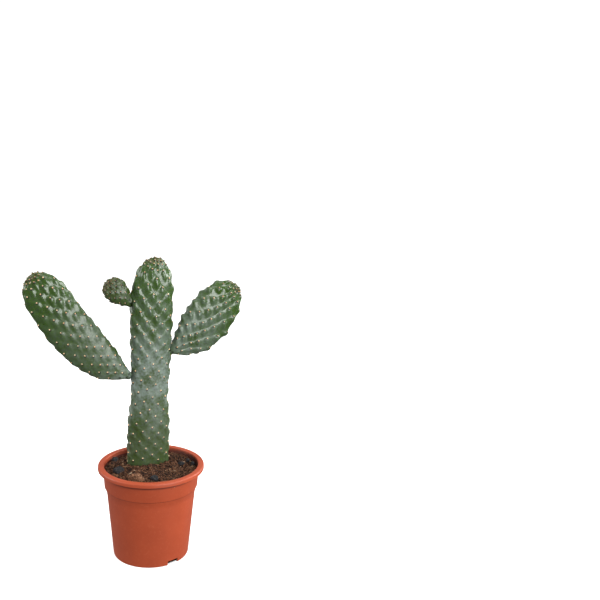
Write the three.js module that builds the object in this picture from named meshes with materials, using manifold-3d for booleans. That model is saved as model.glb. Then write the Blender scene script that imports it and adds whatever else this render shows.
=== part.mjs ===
// Potted prickly pear cactus: a long upright pad with two side pads and a young bud, planted in
// dark fibrous soil with charcoal and bark lumps, in a 12 cm terracotta-coloured nursery pot.
// Millimetres, +Z up. The origin is the centre of the pot's base on the floor, and the front is -Y.

import * as THREE from "three";
import { mergeVertices } from "three/addons/utils/BufferGeometryUtils.js";
import Module from "manifold-3d";

const wasm = await Module();
wasm.setup();

const GAP = 0.3;
const TURN = 2 * Math.PI;

// Pot: a thin moulded shell. Its base plate lies on the floor, and two drain channels run in from
// the foot under raised roofs.
const POT = {
  height: 105.6,
  rimRadius: 60,
  lipDrop: 4.7,
  lipRounding: 1.6,
  lipSkirt: 1.3,
  lipEase: 0.8,
  neckRadius: 54.4,
  collarRadius: 52.8,
  collarHeight: 81.5,
  collarStep: 0.5,
  shoulderRadius: 50,
  shoulderHeight: 73.5,
  baseRadius: 42.9,
  footRounding: 0.8,
  wall: 1.2,
  floor: 1.6,
  segments: 64,
};
const DRAIN = {
  azimuths: [35, 215],
  width: 13.4,
  height: 5.1,
  reach: 15,
  roof: 1.3,
  holeRadius: 3.2,
};

// Soil: it lies a few millimetres under the lip and is banked up round the trunk.
const SOIL = {
  level: 98.2,
  bank: 3.2,
  bankReach: 26,
  crumb: 1.1,
  rings: 13,
  segments: 64,
};

// Lumps half sunk in the soil: the place, half sizes and turn of each.
const LUMPS = [
  { name: "charcoal_front_left", at: [-36.4, -8.9], size: [6.8, 6.4, 5.6], turn: 20, seed: 3 },
  { name: "charcoal_front", at: [3.2, -30.2], size: [4.3, 5, 5.4], turn: 65, seed: 8 },
  { name: "charcoal_right", at: [34, 9.2], size: [4.8, 3.8, 3.4], turn: -25, seed: 11 },
  { name: "charcoal_far_right", at: [42, 17.8], size: [3.1, 2.9, 2.8], turn: 40, seed: 17 },
  { name: "charcoal_by_wall", at: [47.6, 8], size: [3, 3.7, 4.3], turn: 5, seed: 20 },
  { name: "charcoal_left", at: [-42, 21.5], size: [4.4, 4.6, 4.6], turn: 10, seed: 23 },
  { name: "bark_front", at: [-16.4, -31.5], size: [8.1, 7.4, 6], turn: 0, seed: 31 },
];
const LUMP = {
  raised: 0.1,
  uneven: 0.24,
  bedGap: GAP + 0.15,
};

// Pads. Each grows in its own frame: "along" runs from its root to its tip, "across" lies in its
// flat face and "out" points to the front. A station gives [along, centre offset, half width, half
// thickness], and past the last one the pad closes as a half ellipse up to its length. Its areoles
// follow a spiral from the tip down: "cell" is the surface that each one has, which is "coarser"
// towards the root and "bend" coarser at both ends, "crowd" more of them stand close together near
// the tip and "neck" more at the root, "twist" is the share of a turn by which the whole pattern
// winds, and "spread" draws it out over the faces. By its right edge the pattern stands "bow" and
// "slant" areoles higher than on the faces, by its left edge "bow" higher and "slant" lower, and
// the slant is "slantMore" greater at the root than at the tip.
const PADS = [
  {
    name: "main_pad",
    root: [-3.9, 16.7, 99],
    facing: 15,
    lean: 0,
    length: 240.2,
    tipOffset: 7.4,
    stations: [
      [-18, 0, 15, 7],
      [-4, 0, 23.4, 11.2],
      [0, 0, 24.1, 11.9],
      [30, 0.5, 24.2, 12],
      [50, 0.8, 24, 12.1],
      [66, 1.3, 22.6, 11.8],
      [80, 1.7, 20.9, 11.5],
      [105, 2.5, 22.1, 11.5],
      [135, 3.2, 22.6, 11.5],
      [165, 3.6, 23.8, 11.5],
      [196, 4.4, 23.6, 11.5],
    ],
    relief: 1.5,
    reliefFade: [2, 12],
    spiral: {
      sense: -1,
      cell: 126.3,
      coarser: 0.165,
      bend: -0.02,
      crowd: 14.13,
      crowdArea: 360,
      neck: 0,
      neckArea: 130,
      phase: 0.114,
      twist: -0.121,
      spread: 0.018,
      bow: 3.92,
      slant: -0.35,
      slantMore: -0.8,
    },
  },
  {
    name: "left_pad",
    root: [-25, 11, 212],
    facing: 12,
    lean: -40,
    length: 152,
    tipOffset: -10.5,
    stations: [
      [-9, -3.6, 3.2, 3],
      [-4, -5.6, 5.3, 4.6],
      [0, -8, 7.8, 6],
      [5, -10.4, 10.8, 7],
      [15, -14, 16.3, 8],
      [25, -15.5, 19.9, 8.7],
      [45, -17.5, 23.1, 9.3],
      [60, -18, 24.7, 9.5],
      [90, -17, 25, 9.5],
      [115, -13.8, 24.4, 9],
    ],
    relief: 1.4,
    reliefFade: [2, 16],
    spiral: {
      sense: -1,
      cell: 110,
      coarser: 0.256,
      bend: 0.6,
      crowd: 13.3,
      crowdArea: 240,
      neck: 12,
      neckArea: 130,
      phase: 0.303,
      twist: -0.121,
      spread: -0.138,
      bow: 2.1,
      slant: 2.1,
      slantMore: 7.9,
    },
  },
  {
    name: "right_pad",
    root: [20, 23, 231],
    facing: 18,
    lean: 50,
    length: 110,
    tipOffset: -2,
    stations: [
      [-9, 1, 2.6, 2.6],
      [0, 1.8, 3.5, 3.6],
      [3, 2.9, 5.6, 4.8],
      [6, 4.2, 8.1, 6],
      [10, 5.2, 10.9, 7],
      [20, 6.3, 17.3, 8],
      [30, 6.7, 23.8, 8.7],
      [40, 5.6, 26.7, 9],
      [50, 5.1, 28.6, 9],
      [62, 3.3, 29.3, 9],
    ],
    relief: 1.5,
    reliefFade: [2, 16],
    spiral: {
      sense: 1,
      cell: 119,
      coarser: 0.208,
      bend: 1,
      crowd: 12.22,
      crowdArea: 220,
      neck: 12,
      neckArea: 130,
      phase: 0.635,
      twist: -0.026,
      spread: -0.267,
      bow: 2.2,
      slant: 3.66,
      slantMore: -11.2,
    },
  },
  {
    name: "bud_pad",
    root: [-24.5, 12, 293],
    facing: 12,
    lean: -58,
    length: 33,
    tipOffset: 1,
    stations: [
      [-6, -2.5, 5, 3.4],
      [0, -2.5, 6.5, 4.5],
      [3, -2, 8.6, 5.3],
      [6, -1.2, 9.8, 6],
      [10, -0.6, 11.6, 6.5],
      [14, 0.2, 13.2, 6.5],
      [17, 0.7, 13.4, 6.5],
    ],
    relief: 0.9,
    reliefFade: [0, 5],
    spiral: {
      sense: -1,
      cell: 38,
      coarser: 0.1,
      bend: 0,
      crowd: 6,
      crowdArea: 60,
      neck: 10,
      neckArea: 60,
      phase: 0.2,
      twist: 0,
      spread: 0,
      bow: 0,
      slant: 0,
      slantMore: 0,
    },
  },
];
const FLATNESS = 2.4;
const FOOT = { bottom: 62, top: 96.6, halfWidth: 23.7, halfThickness: 11.5, clearance: 0.9 };

// Areole: the small felted cushion on top of each tubercle, here a low four-sided nub.
const AREOLE = { radius: 0.95, height: 0.9 };

// Golden-angle spiral. Stepping 5 or 8 areoles on along it lands on a close neighbour, so the
// areoles n, n + 5, n + 13 and n + 8 are the corners of one cell of the surface.
const GOLDEN = (3 - Math.sqrt(5)) / 2;
const SPIRAL_START = -0.5;
const SPIRAL_SETTLED = 20;
const STEPS = {
  short: 5,
  long: 8,
  shortTurn: 5 * GOLDEN - 2,
  longTurn: 8 * GOLDEN - 3,
};
const CELL_SHORT = [0, 0.5];
const CELL_LONG = [0, 0.4, 0.8];
const BORDER = STEPS.short + STEPS.long;

const COLOURS = {
  plastic: { color: 0xb4523a, roughness: 0.45, metalness: 0 },
  soil: { color: 0x4a3226, roughness: 0.95, metalness: 0 },
  charcoal: { color: 0x2b2b30, roughness: 0.7, metalness: 0 },
  bark: { color: 0x8a6648, roughness: 0.9, metalness: 0 },
  pad: { color: 0x4b6e42, roughness: 0.5, metalness: 0 },
};

const radians = THREE.MathUtils.degToRad;
const { clamp, lerp, smoothstep } = THREE.MathUtils;

function material(name) {
  return new THREE.MeshStandardMaterial(COLOURS[name]);
}

// Solids from meshes, and back.
function toSolid(geometry) {
  const bare = geometry.clone();
  bare.deleteAttribute("normal");
  bare.deleteAttribute("uv");
  const merged = mergeVertices(bare, 1e-4);
  return new wasm.Manifold(
    new wasm.Mesh({
      numProp: 3,
      vertProperties: new Float32Array(merged.attributes.position.array),
      triVerts: new Uint32Array(merged.index.array),
    }),
  );
}

function toGeometry(solid) {
  const mesh = solid.getMesh();
  const geometry = new THREE.BufferGeometry();
  geometry.setAttribute("position", new THREE.BufferAttribute(mesh.vertProperties, mesh.numProp));
  geometry.setIndex(new THREE.BufferAttribute(mesh.triVerts, 1));
  geometry.computeVertexNormals();
  return geometry;
}

function lathe(profile, segments) {
  const points = profile.map(([radius, height]) => new THREE.Vector2(radius, height));
  return new THREE.LatheGeometry(points, segments).rotateX(Math.PI / 2);
}

// A box lying along one azimuth, from one distance off the pot's axis to another.
function spoke(azimuth, from, to, width, bottom, top) {
  const box = new THREE.BoxGeometry(to - from, width, top - bottom)
    .translate((from + to) / 2, 0, (bottom + top) / 2)
    .rotateZ(radians(azimuth - 90));
  return toSolid(box);
}

// A smooth curve through [x, value] rows, with the slope at each row taken from its neighbours.
function smoothThrough(rows, x, column) {
  const last = rows.length - 1;
  let i = 0;
  while (i < last - 1 && x > rows[i + 1][0]) {
    i += 1;
  }
  const slope = (k) => {
    const before = rows[Math.max(k - 1, 0)];
    const after = rows[Math.min(k + 1, last)];
    return (after[column] - before[column]) / (after[0] - before[0]);
  };
  const span = rows[i + 1][0] - rows[i][0];
  const t = clamp((x - rows[i][0]) / span, 0, 1);
  const h = t * t * (3 - 2 * t);
  const start = slope(i) * span * t * (1 - t) * (1 - t);
  const end = -slope(i + 1) * span * t * t * (1 - t);
  return lerp(rows[i][column], rows[i + 1][column], h) + start + end;
}

// Superellipse section: points at equal turns, and the point at a share of the way round.
function sectionPoint(halfWidth, halfThickness, angle) {
  const power = 2 / FLATNESS;
  const x = Math.cos(angle);
  const y = Math.sin(angle);
  return [
    halfWidth * Math.sign(x) * Math.abs(x) ** power,
    halfThickness * Math.sign(y) * Math.abs(y) ** power,
  ];
}

function sectionTable(halfWidth, halfThickness) {
  const count = 96;
  const rows = [];
  let girth = 0;
  let previous = sectionPoint(halfWidth, halfThickness, 0);
  for (let i = 0; i <= count; i += 1) {
    const point = sectionPoint(halfWidth, halfThickness, (TURN * i) / count);
    girth += Math.hypot(point[0] - previous[0], point[1] - previous[1]);
    rows.push([girth, ...point]);
    previous = point;
  }
  return { rows, girth };
}

function aroundSection(table, share) {
  const distance = (share - Math.floor(share)) * table.girth;
  const { rows } = table;
  let low = 0;
  let high = rows.length - 1;
  while (high - low > 1) {
    const middle = (low + high) >> 1;
    if (rows[middle][0] > distance) {
      high = middle;
    } else {
      low = middle;
    }
  }
  const t = (distance - rows[low][0]) / (rows[high][0] - rows[low][0]);
  return [lerp(rows[low][1], rows[high][1], t), lerp(rows[low][2], rows[high][2], t)];
}

// Tubercle relief over one cell: a ridge along the long step that is highest at the areole, falls
// slowly towards the root and rises sharply to the next areole. 1 at an areole, 0 in the valley.
function tubercle(short, long) {
  const across = Math.cos(Math.PI * short) ** 2;
  const fall = smoothstep(long, 0.05, 0.85);
  const rise = smoothstep(long, 0.85, 1);
  return across * (1 - 0.65 * fall * (1 - rise));
}

class Pad {
  constructor(spec) {
    Object.assign(this, spec);
    const facing = radians(spec.facing);
    const lean = radians(spec.lean);
    const right = new THREE.Vector3(Math.cos(facing), Math.sin(facing), 0);
    const up = new THREE.Vector3(0, 0, 1);
    this.out = new THREE.Vector3(Math.sin(facing), -Math.cos(facing), 0);
    this.along = up.clone().multiplyScalar(Math.cos(lean)).addScaledVector(right, Math.sin(lean));
    this.across = right.clone().multiplyScalar(Math.cos(lean)).addScaledVector(up, -Math.sin(lean));
    this.origin = new THREE.Vector3(...spec.root);
    this.first = spec.stations[0];
    this.last = spec.stations[spec.stations.length - 1];
    this.walk = this.walkDown();
  }

  // Section at a place on the way down: 0 is the tip, 1 the last station, 2 the root's end.
  section(place) {
    const [lastAlong, lastOffset, lastWidth, lastThickness] = this.last;
    if (place < 1) {
      const angle = (Math.PI / 2) * place;
      const closing = Math.max(Math.sin(angle), 1e-3);
      const share = Math.cos(angle);
      return {
        along: lastAlong + (this.length - lastAlong) * share,
        offset: lerp(lastOffset, this.tipOffset, share),
        halfWidth: lastWidth * closing,
        halfThickness: lastThickness * closing,
      };
    }
    const along = lerp(lastAlong, this.first[0], place - 1);
    return {
      along,
      offset: smoothThrough(this.stations, along, 1),
      halfWidth: smoothThrough(this.stations, along, 2),
      halfThickness: smoothThrough(this.stations, along, 3),
    };
  }

  // Walks from the tip to the root, adding up the surface passed and the areoles that it carries.
  walkDown() {
    const count = 240;
    const steps = [];
    let area = 0;
    let before = null;
    for (let i = 0; i <= count; i += 1) {
      const place = (2 * i) / count;
      const section = this.section(place);
      section.place = place;
      section.table = sectionTable(section.halfWidth, section.halfThickness);
      section.girth = section.table.girth;
      if (before) {
        const swell = (Math.abs(section.halfWidth - before.halfWidth)
          + Math.abs(section.halfThickness - before.halfThickness)) / 2;
        const run = Math.hypot(section.along - before.along, swell);
        area += (run * (section.girth + before.girth)) / 2;
      }
      section.area = area;
      steps.push(section);
      before = section;
    }
    const { cell, coarser, bend, crowd, crowdArea, neck, neckArea, twist } = this.spiral;
    for (const step of steps) {
      const share = step.area / area;
      const uneven = coarser * (share - 1) + bend * (share - 1) * (share - 0.5);
      const nearTip = crowd * (1 - Math.exp(-step.area / crowdArea));
      const nearRoot = neck * Math.exp((step.area - area) / neckArea);
      step.index = SPIRAL_START + (step.area / cell) * (1 + uneven) + nearTip + nearRoot;
      step.passed = share - 0.5;
      step.wound = twist * step.passed;
    }
    return steps;
  }

  // The section passed when the areole count has reached a value.
  at(index) {
    const steps = this.walk;
    let low = 0;
    let high = steps.length - 1;
    while (high - low > 1) {
      const middle = (low + high) >> 1;
      if (steps[middle].index > index) {
        high = middle;
      } else {
        low = middle;
      }
    }
    const t = clamp((index - steps[low].index) / (steps[high].index - steps[low].index), 0, 1);
    return {
      ...this.section(lerp(steps[low].place, steps[high].place, t)),
      place: lerp(steps[low].place, steps[high].place, t),
      girth: lerp(steps[low].girth, steps[high].girth, t),
      wound: lerp(steps[low].wound, steps[high].wound, t),
      passed: lerp(steps[low].passed, steps[high].passed, t),
      cell: (steps[high].area - steps[low].area) / (steps[high].index - steps[low].index),
    };
  }

  // The section where an areole count is reached at a turn of the spiral, and the share of the way
  // round it. The count runs ahead of the walk's by the pattern's bow and slant.
  wind(index, turn) {
    const { phase, spread, bow, slant, slantMore } = this.spiral;
    const toRoot = (this.walk[this.walk.length - 1].index - index) / BORDER;
    const settled = clamp(Math.min(index / SPIRAL_SETTLED, toRoot), 0, 1);
    let here = this.at(index);
    let around = 0;
    for (let pass = 0; pass < 3; pass += 1) {
      around = TURN * (phase + here.wound + turn);
      const tilt = (slant + slantMore * here.passed) * Math.cos(around);
      here = this.at(index - settled * (bow * Math.cos(around) ** 2 + tilt));
    }
    around = TURN * (phase + here.wound + turn);
    here.share = (around - 0.5 * spread * Math.sin(2 * around)) / TURN;
    return here;
  }

  skin(place, share) {
    const section = this.section(place);
    const table = sectionTable(section.halfWidth, section.halfThickness);
    const [width, thickness] = aroundSection(table, share);
    return this.origin
      .clone()
      .addScaledVector(this.along, section.along)
      .addScaledVector(this.across, section.offset + width)
      .addScaledVector(this.out, thickness);
  }

  // A point over the skin, raised along its normal.
  raised(place, share, height) {
    const point = this.skin(place, share);
    const small = 0.004;
    const down = this.skin(Math.min(place + small, 2), share)
      .sub(this.skin(Math.max(place - small, 0.002), share));
    const around = this.skin(place, share + small).sub(this.skin(place, share - small));
    const normal = new THREE.Vector3().crossVectors(around, down).normalize();
    return point.addScaledVector(normal, height);
  }

  solid(grown = 0) {
    return toSolid(this.build(grown));
  }

  build(grown) {
    const { sense } = this.spiral;
    const positions = [];
    const triangles = [];
    const known = new Map();
    const size = [CELL_SHORT.length, CELL_LONG.length];
    const lastIndex = this.walk[this.walk.length - 1].index;
    const cells = Math.floor(lastIndex) - BORDER;

    const spot = (n, short, long) => {
      const index = n + STEPS.short * short + STEPS.long * long;
      const turn = n * GOLDEN + short * STEPS.shortTurn + long * STEPS.longTurn;
      return this.wind(index, sense * turn);
    };
    const strength = ({ along, cell }) => {
      const fade = smoothstep(along, ...this.reliefFade);
      return this.relief * fade * clamp(Math.sqrt(cell / this.spiral.cell), 0.3, 1.15);
    };
    const put = (key, place, share, height) => {
      if (!known.has(key)) {
        known.set(key, positions.length / 3);
        positions.push(...this.raised(place, share, height + grown));
      }
      return known.get(key);
    };
    const vertex = (n, i, j) => {
      if (i === size[0]) {
        return vertex(n + STEPS.short, 0, j);
      }
      if (j === size[1]) {
        return vertex(n + STEPS.long, i, 0);
      }
      const here = spot(n, CELL_SHORT[i], CELL_LONG[j]);
      const height = strength(here) * tubercle(CELL_SHORT[i], CELL_LONG[j]);
      return put(`${n}:${i}:${j}`, here.place, here.share, height);
    };
    const hasNub = (n) => {
      if (n < BORDER || n >= cells) {
        return false;
      }
      const { along } = this.at(n);
      return along > this.reliefFade[0] + 1;
    };
    const nubReach = (n) => {
      const { cell, girth } = this.at(n);
      const rise = cell / girth;
      const radius = Math.min(AREOLE.radius, 0.16 * Math.sqrt(cell));
      return {
        short: radius / Math.hypot(STEPS.shortTurn * girth, STEPS.short * rise),
        long: radius / Math.hypot(STEPS.longTurn * girth, STEPS.long * rise),
        height: (AREOLE.height * radius) / AREOLE.radius,
      };
    };
    const ring = (n, direction) => {
      const reach = nubReach(n);
      const short = direction[0] * reach.short;
      const long = direction[1] * reach.long;
      const here = spot(n, short, long);
      return put(`${n}:ring:${direction}`, here.place, here.share, 0.94 * strength(here));
    };
    const face = (...corners) => {
      for (let k = 1; k < corners.length - 1; k += 1) {
        const pair = [corners[k], corners[k + 1]];
        triangles.push(corners[0], ...(sense > 0 ? pair.reverse() : pair));
      }
    };

    for (let n = 0; n < cells; n += 1) {
      for (let i = 0; i < size[0]; i += 1) {
        for (let j = 0; j < size[1]; j += 1) {
          const near = vertex(n, i, j);
          const side = vertex(n, i + 1, j);
          const far = vertex(n, i + 1, j + 1);
          const below = vertex(n, i, j + 1);
          const lastShort = i === size[0] - 1;
          const lastLong = j === size[1] - 1;
          const firstShort = i === 0;
          const firstLong = j === 0;
          const ahead = n + STEPS.short;
          const under = n + STEPS.long;
          const beyond = n + BORDER;
          if (firstShort && firstLong && hasNub(n)) {
            face(far, below, ring(n, [0, 1]), ring(n, [1, 0]), side);
          } else if (lastShort && firstLong && hasNub(ahead)) {
            face(below, near, ring(ahead, [-1, 0]), ring(ahead, [0, 1]), far);
          } else if (lastShort && lastLong && hasNub(beyond)) {
            face(near, side, ring(beyond, [0, -1]), ring(beyond, [-1, 0]), below);
          } else if (firstShort && lastLong && hasNub(under)) {
            face(side, far, ring(under, [1, 0]), ring(under, [0, -1]), near);
          } else {
            face(near, side, far, below);
          }
        }
      }
    }
    for (let n = BORDER; n < cells; n += 1) {
      if (hasNub(n)) {
        const here = spot(n, 0, 0);
        const height = strength(here) + nubReach(n).height;
        const top = put(`${n}:top`, here.place, here.share, height);
        const rim = [[1, 0], [0, 1], [-1, 0], [0, -1]].map((direction) => ring(n, direction));
        rim.forEach((corner, k) => face(top, corner, rim[(k + 1) % 4]));
      }
    }

    // Both ends close with a fan: the border runs 5 areoles on or 8 back until it meets itself.
    const borderLoop = (start) => {
      const loop = [];
      let k = 0;
      do {
        if (k < STEPS.long) {
          for (let i = 0; i < size[0]; i += 1) {
            loop.push(vertex(start + k, i, 0));
          }
          k += STEPS.short;
        } else {
          loop.push(vertex(start + k, 0, 0));
          for (let j = size[1] - 1; j > 0; j -= 1) {
            loop.push(vertex(start + k - STEPS.long, 0, j));
          }
          k -= STEPS.long;
        }
      } while (k !== 0);
      return loop;
    };
    const middle = (place, lift) => {
      const section = this.section(place);
      const point = this.origin
        .clone()
        .addScaledVector(this.along, section.along + lift)
        .addScaledVector(this.across, section.offset);
      positions.push(...point);
      return positions.length / 3 - 1;
    };
    const tip = middle(0, grown);
    const tipLoop = borderLoop(0);
    tipLoop.forEach((corner, k) => face(tip, tipLoop[(k + 1) % tipLoop.length], corner));
    const end = middle(2, -grown);
    const endLoop = borderLoop(cells);
    endLoop.forEach((corner, k) => face(end, corner, endLoop[(k + 1) % endLoop.length]));

    const geometry = new THREE.BufferGeometry();
    geometry.setAttribute("position", new THREE.Float32BufferAttribute(positions, 3));
    geometry.setIndex(triangles);
    return geometry;
  }
}

// The buried foot of the trunk and the plain hole it stands in share one outline.
function footPrism(extra, bottom, top) {
  const [x, y] = PADS[0].root;
  const shape = new THREE.Shape();
  const sides = 36;
  for (let i = 0; i < sides; i += 1) {
    const point = sectionPoint(FOOT.halfWidth + extra, FOOT.halfThickness + extra, (TURN * i) / sides);
    if (i === 0) {
      shape.moveTo(...point);
    } else {
      shape.lineTo(...point);
    }
  }
  const prism = new THREE.ExtrudeGeometry(shape, { depth: top - bottom, bevelEnabled: false });
  prism.rotateZ(radians(PADS[0].facing)).translate(x, y, bottom);
  return toSolid(prism);
}

// Repeatable unevenness from crossing sines, between -1 and 1, with humps about 9 and 5 mm across.
function crumbs(x, y) {
  const bend = 1.3 * Math.sin(0.37 * y);
  const coarse = Math.sin(0.61 * x + bend) * Math.cos(0.57 * y + Math.sin(0.29 * x));
  const fine = Math.sin(1.17 * x - 0.83 * y + 2.1) * Math.sin(0.91 * x + 1.29 * y);
  return 0.6 * coarse + 0.4 * fine;
}

function soilHeight(x, y) {
  const [trunkX, trunkY] = PADS[0].root;
  const facing = radians(PADS[0].facing);
  const dx = x - trunkX;
  const dy = y - trunkY;
  const across = Math.abs(dx * Math.cos(facing) + dy * Math.sin(facing)) / FOOT.halfWidth;
  const out = Math.abs(dy * Math.cos(facing) - dx * Math.sin(facing)) / FOOT.halfThickness;
  const away = Math.max(0, (across ** FLATNESS + out ** FLATNESS) ** (1 / FLATNESS) - 1);
  const reach = (away * FOOT.halfThickness * 2) / SOIL.bankReach;
  const banked = SOIL.bank * Math.exp(-reach * reach);
  return SOIL.level + banked + SOIL.crumb * crumbs(x, y);
}

function innerRadius(z) {
  const profile = [
    [0, POT.baseRadius],
    [POT.shoulderHeight, POT.shoulderRadius],
    [POT.collarHeight, POT.collarRadius],
    [POT.height - POT.lipEase, POT.neckRadius],
  ];
  let i = 0;
  while (i < profile.length - 2 && z > profile[i + 1][0]) {
    i += 1;
  }
  const t = clamp((z - profile[i][0]) / (profile[i + 1][0] - profile[i][0]), 0, 1);
  return lerp(profile[i][1], profile[i + 1][1], t) - POT.wall;
}

function makePot() {
  const lipTop = POT.height;
  const lipBottom = POT.height - POT.lipDrop;
  const round = POT.lipRounding;
  const inner = innerRadius(lipTop);
  const profile = [
    [0, 0],
    [POT.baseRadius - POT.footRounding, 0],
    [POT.baseRadius, POT.footRounding],
    [POT.shoulderRadius, POT.shoulderHeight],
    [POT.collarRadius - POT.collarStep, POT.collarHeight - 0.4],
    [POT.collarRadius, POT.collarHeight],
    [POT.neckRadius, lipTop - POT.lipSkirt],
    [POT.rimRadius - POT.lipSkirt, lipTop - POT.lipSkirt],
    [POT.rimRadius - POT.lipSkirt, lipBottom],
    [POT.rimRadius, lipBottom],
    [POT.rimRadius, lipTop - round],
    [POT.rimRadius - 0.3 * round, lipTop - 0.3 * round],
    [POT.rimRadius - round, lipTop],
    [inner + POT.lipEase, lipTop],
    [inner, lipTop - POT.lipEase],
    [innerRadius(POT.collarHeight), POT.collarHeight],
    [innerRadius(POT.shoulderHeight), POT.shoulderHeight],
    [innerRadius(POT.floor), POT.floor],
    [0, POT.floor],
  ];
  let pot = toSolid(lathe(profile, POT.segments));
  for (const azimuth of DRAIN.azimuths) {
    const { width, height, roof } = DRAIN;
    const inner = POT.baseRadius - DRAIN.reach;
    const roofTop = height + roof;
    const under = -1;
    const outer = POT.baseRadius - POT.wall / 2;
    const cover = spoke(azimuth, inner - roof, outer, width + 2 * roof, POT.floor / 2, roofTop);
    const channel = spoke(azimuth, inner, POT.rimRadius, width, under, height);
    const hole = toSolid(
      new THREE.CylinderGeometry(DRAIN.holeRadius, DRAIN.holeRadius, 4 * roof, 16)
        .rotateX(Math.PI / 2)
        .translate(inner + DRAIN.reach * 0.4, 0, roofTop)
        .rotateZ(radians(azimuth - 90)),
    );
    pot = pot.add(cover).subtract(channel).subtract(hole);
  }
  return pot;
}

// The soil's body is a round plug with an uneven top, cut by the trunk's hole, the lumps' beds and
// the drain channels' roofs.
function makeSoil(lumpBeds) {
  const bottom = POT.floor + GAP;
  const positions = [];
  const triangles = [];
  const { rings, segments } = SOIL;
  const outer = (z) => innerRadius(z) - GAP;
  const rimRadius = outer(SOIL.level + 1);
  positions.push(0, 0, soilHeight(0, 0));
  for (let i = 1; i <= rings; i += 1) {
    const radius = (rimRadius * i) / rings;
    for (let k = 0; k < segments; k += 1) {
      const angle = (TURN * (k + 0.5 * (i % 2))) / segments;
      const x = radius * Math.cos(angle);
      const y = radius * Math.sin(angle);
      positions.push(x, y, i === rings ? SOIL.level - 0.6 : soilHeight(x, y));
    }
  }
  const walls = [POT.collarHeight, POT.shoulderHeight, bottom];
  for (const z of walls) {
    for (let k = 0; k < segments; k += 1) {
      const angle = (TURN * (k + 0.5 * (rings % 2))) / segments;
      positions.push(outer(z) * Math.cos(angle), outer(z) * Math.sin(angle), z);
    }
  }
  positions.push(0, 0, bottom);
  const at = (ring, k) => 1 + (ring - 1) * segments + (k % segments);
  for (let k = 0; k < segments; k += 1) {
    triangles.push(0, at(1, k), at(1, k + 1));
  }
  const allRings = rings + walls.length;
  for (let i = 1; i < allRings; i += 1) {
    for (let k = 0; k < segments; k += 1) {
      const shifted = i < rings && i % 2 === 1;
      const a = at(i, k);
      const b = at(i, k + 1);
      const c = at(i + 1, k);
      const d = at(i + 1, k + 1);
      if (shifted) {
        triangles.push(a, d, b, a, c, d);
      } else {
        triangles.push(a, c, b, b, c, d);
      }
    }
  }
  const centre = positions.length / 3 - 1;
  for (let k = 0; k < segments; k += 1) {
    triangles.push(at(allRings, k), centre, at(allRings, k + 1));
  }
  const geometry = new THREE.BufferGeometry();
  geometry.setAttribute("position", new THREE.Float32BufferAttribute(positions, 3));
  geometry.setIndex(triangles);
  let soil = toSolid(geometry);
  soil = soil.subtract(footPrism(FOOT.clearance, FOOT.bottom - GAP, POT.height + 10));
  for (const bed of lumpBeds) {
    soil = soil.subtract(bed);
  }
  for (const azimuth of DRAIN.azimuths) {
    const inner = POT.baseRadius - DRAIN.reach - DRAIN.roof - GAP;
    const width = DRAIN.width + 2 * (DRAIN.roof + GAP);
    const space = spoke(azimuth, inner, POT.rimRadius, width, 0, DRAIN.height + DRAIN.roof + GAP);
    soil = soil.subtract(space);
  }
  return soil;
}

// A lump: a twenty-sided ball split once, pulled in and out corner by corner.
function makeLump({ at, size, turn, seed }, grown = 0) {
  const ball = new THREE.IcosahedronGeometry(1, 1);
  const corners = ball.attributes.position;
  const corner = new THREE.Vector3();
  const half = new THREE.Vector3(...size).addScalar(grown);
  for (let i = 0; i < corners.count; i += 1) {
    corner.fromBufferAttribute(corners, i);
    const wobble = Math.sin(2.7 * corner.x + seed)
      * Math.sin(3.1 * corner.y + 2 * seed)
      * Math.sin(2.9 * corner.z + 3 * seed);
    corner.multiply(half).multiplyScalar(1 + LUMP.uneven * wobble);
    corners.setXYZ(i, ...corner);
  }
  const [x, y] = at;
  const ground = soilHeight(x, y) - SOIL.crumb * crumbs(x, y);
  ball.rotateZ(radians(turn)).translate(x, y, ground + LUMP.raised * size[2]);
  return toSolid(ball);
}

function addPiece(group, name, solid, finish) {
  const mesh = new THREE.Mesh(toGeometry(solid), material(finish));
  mesh.name = name;
  group.add(mesh);
}

const cactus = new THREE.Group();
cactus.name = "potted_prickly_pear";

addPiece(cactus, "pot", makePot(), "plastic");
addPiece(cactus, "soil", makeSoil(LUMPS.map((lump) => makeLump(lump, LUMP.bedGap))), "soil");
for (const lump of LUMPS) {
  addPiece(cactus, lump.name, makeLump(lump), lump.name.startsWith("bark") ? "bark" : "charcoal");
}

const [trunk, ...sidePads] = PADS.map((spec) => new Pad(spec));
const foot = footPrism(0, FOOT.bottom, FOOT.top);
const trunkClearance = trunk.solid(GAP);
addPiece(cactus, trunk.name, trunk.solid().add(foot), "pad");
for (const pad of sidePads) {
  addPiece(cactus, pad.name, pad.solid().subtract(trunkClearance), "pad");
}

export default cactus;
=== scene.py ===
"""Looks of a potted prickly pear cactus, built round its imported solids.

Lengths are in millimetres until a mesh is made. The frame is the part's own: +Z is up, the origin is
the middle of the pot's base on the floor, and the front faces -Y.
"""

import logging
import math
from dataclasses import dataclass, field
from enum import Enum
from typing import Sequence

import bpy
import numpy as np
from mathutils import Matrix


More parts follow.
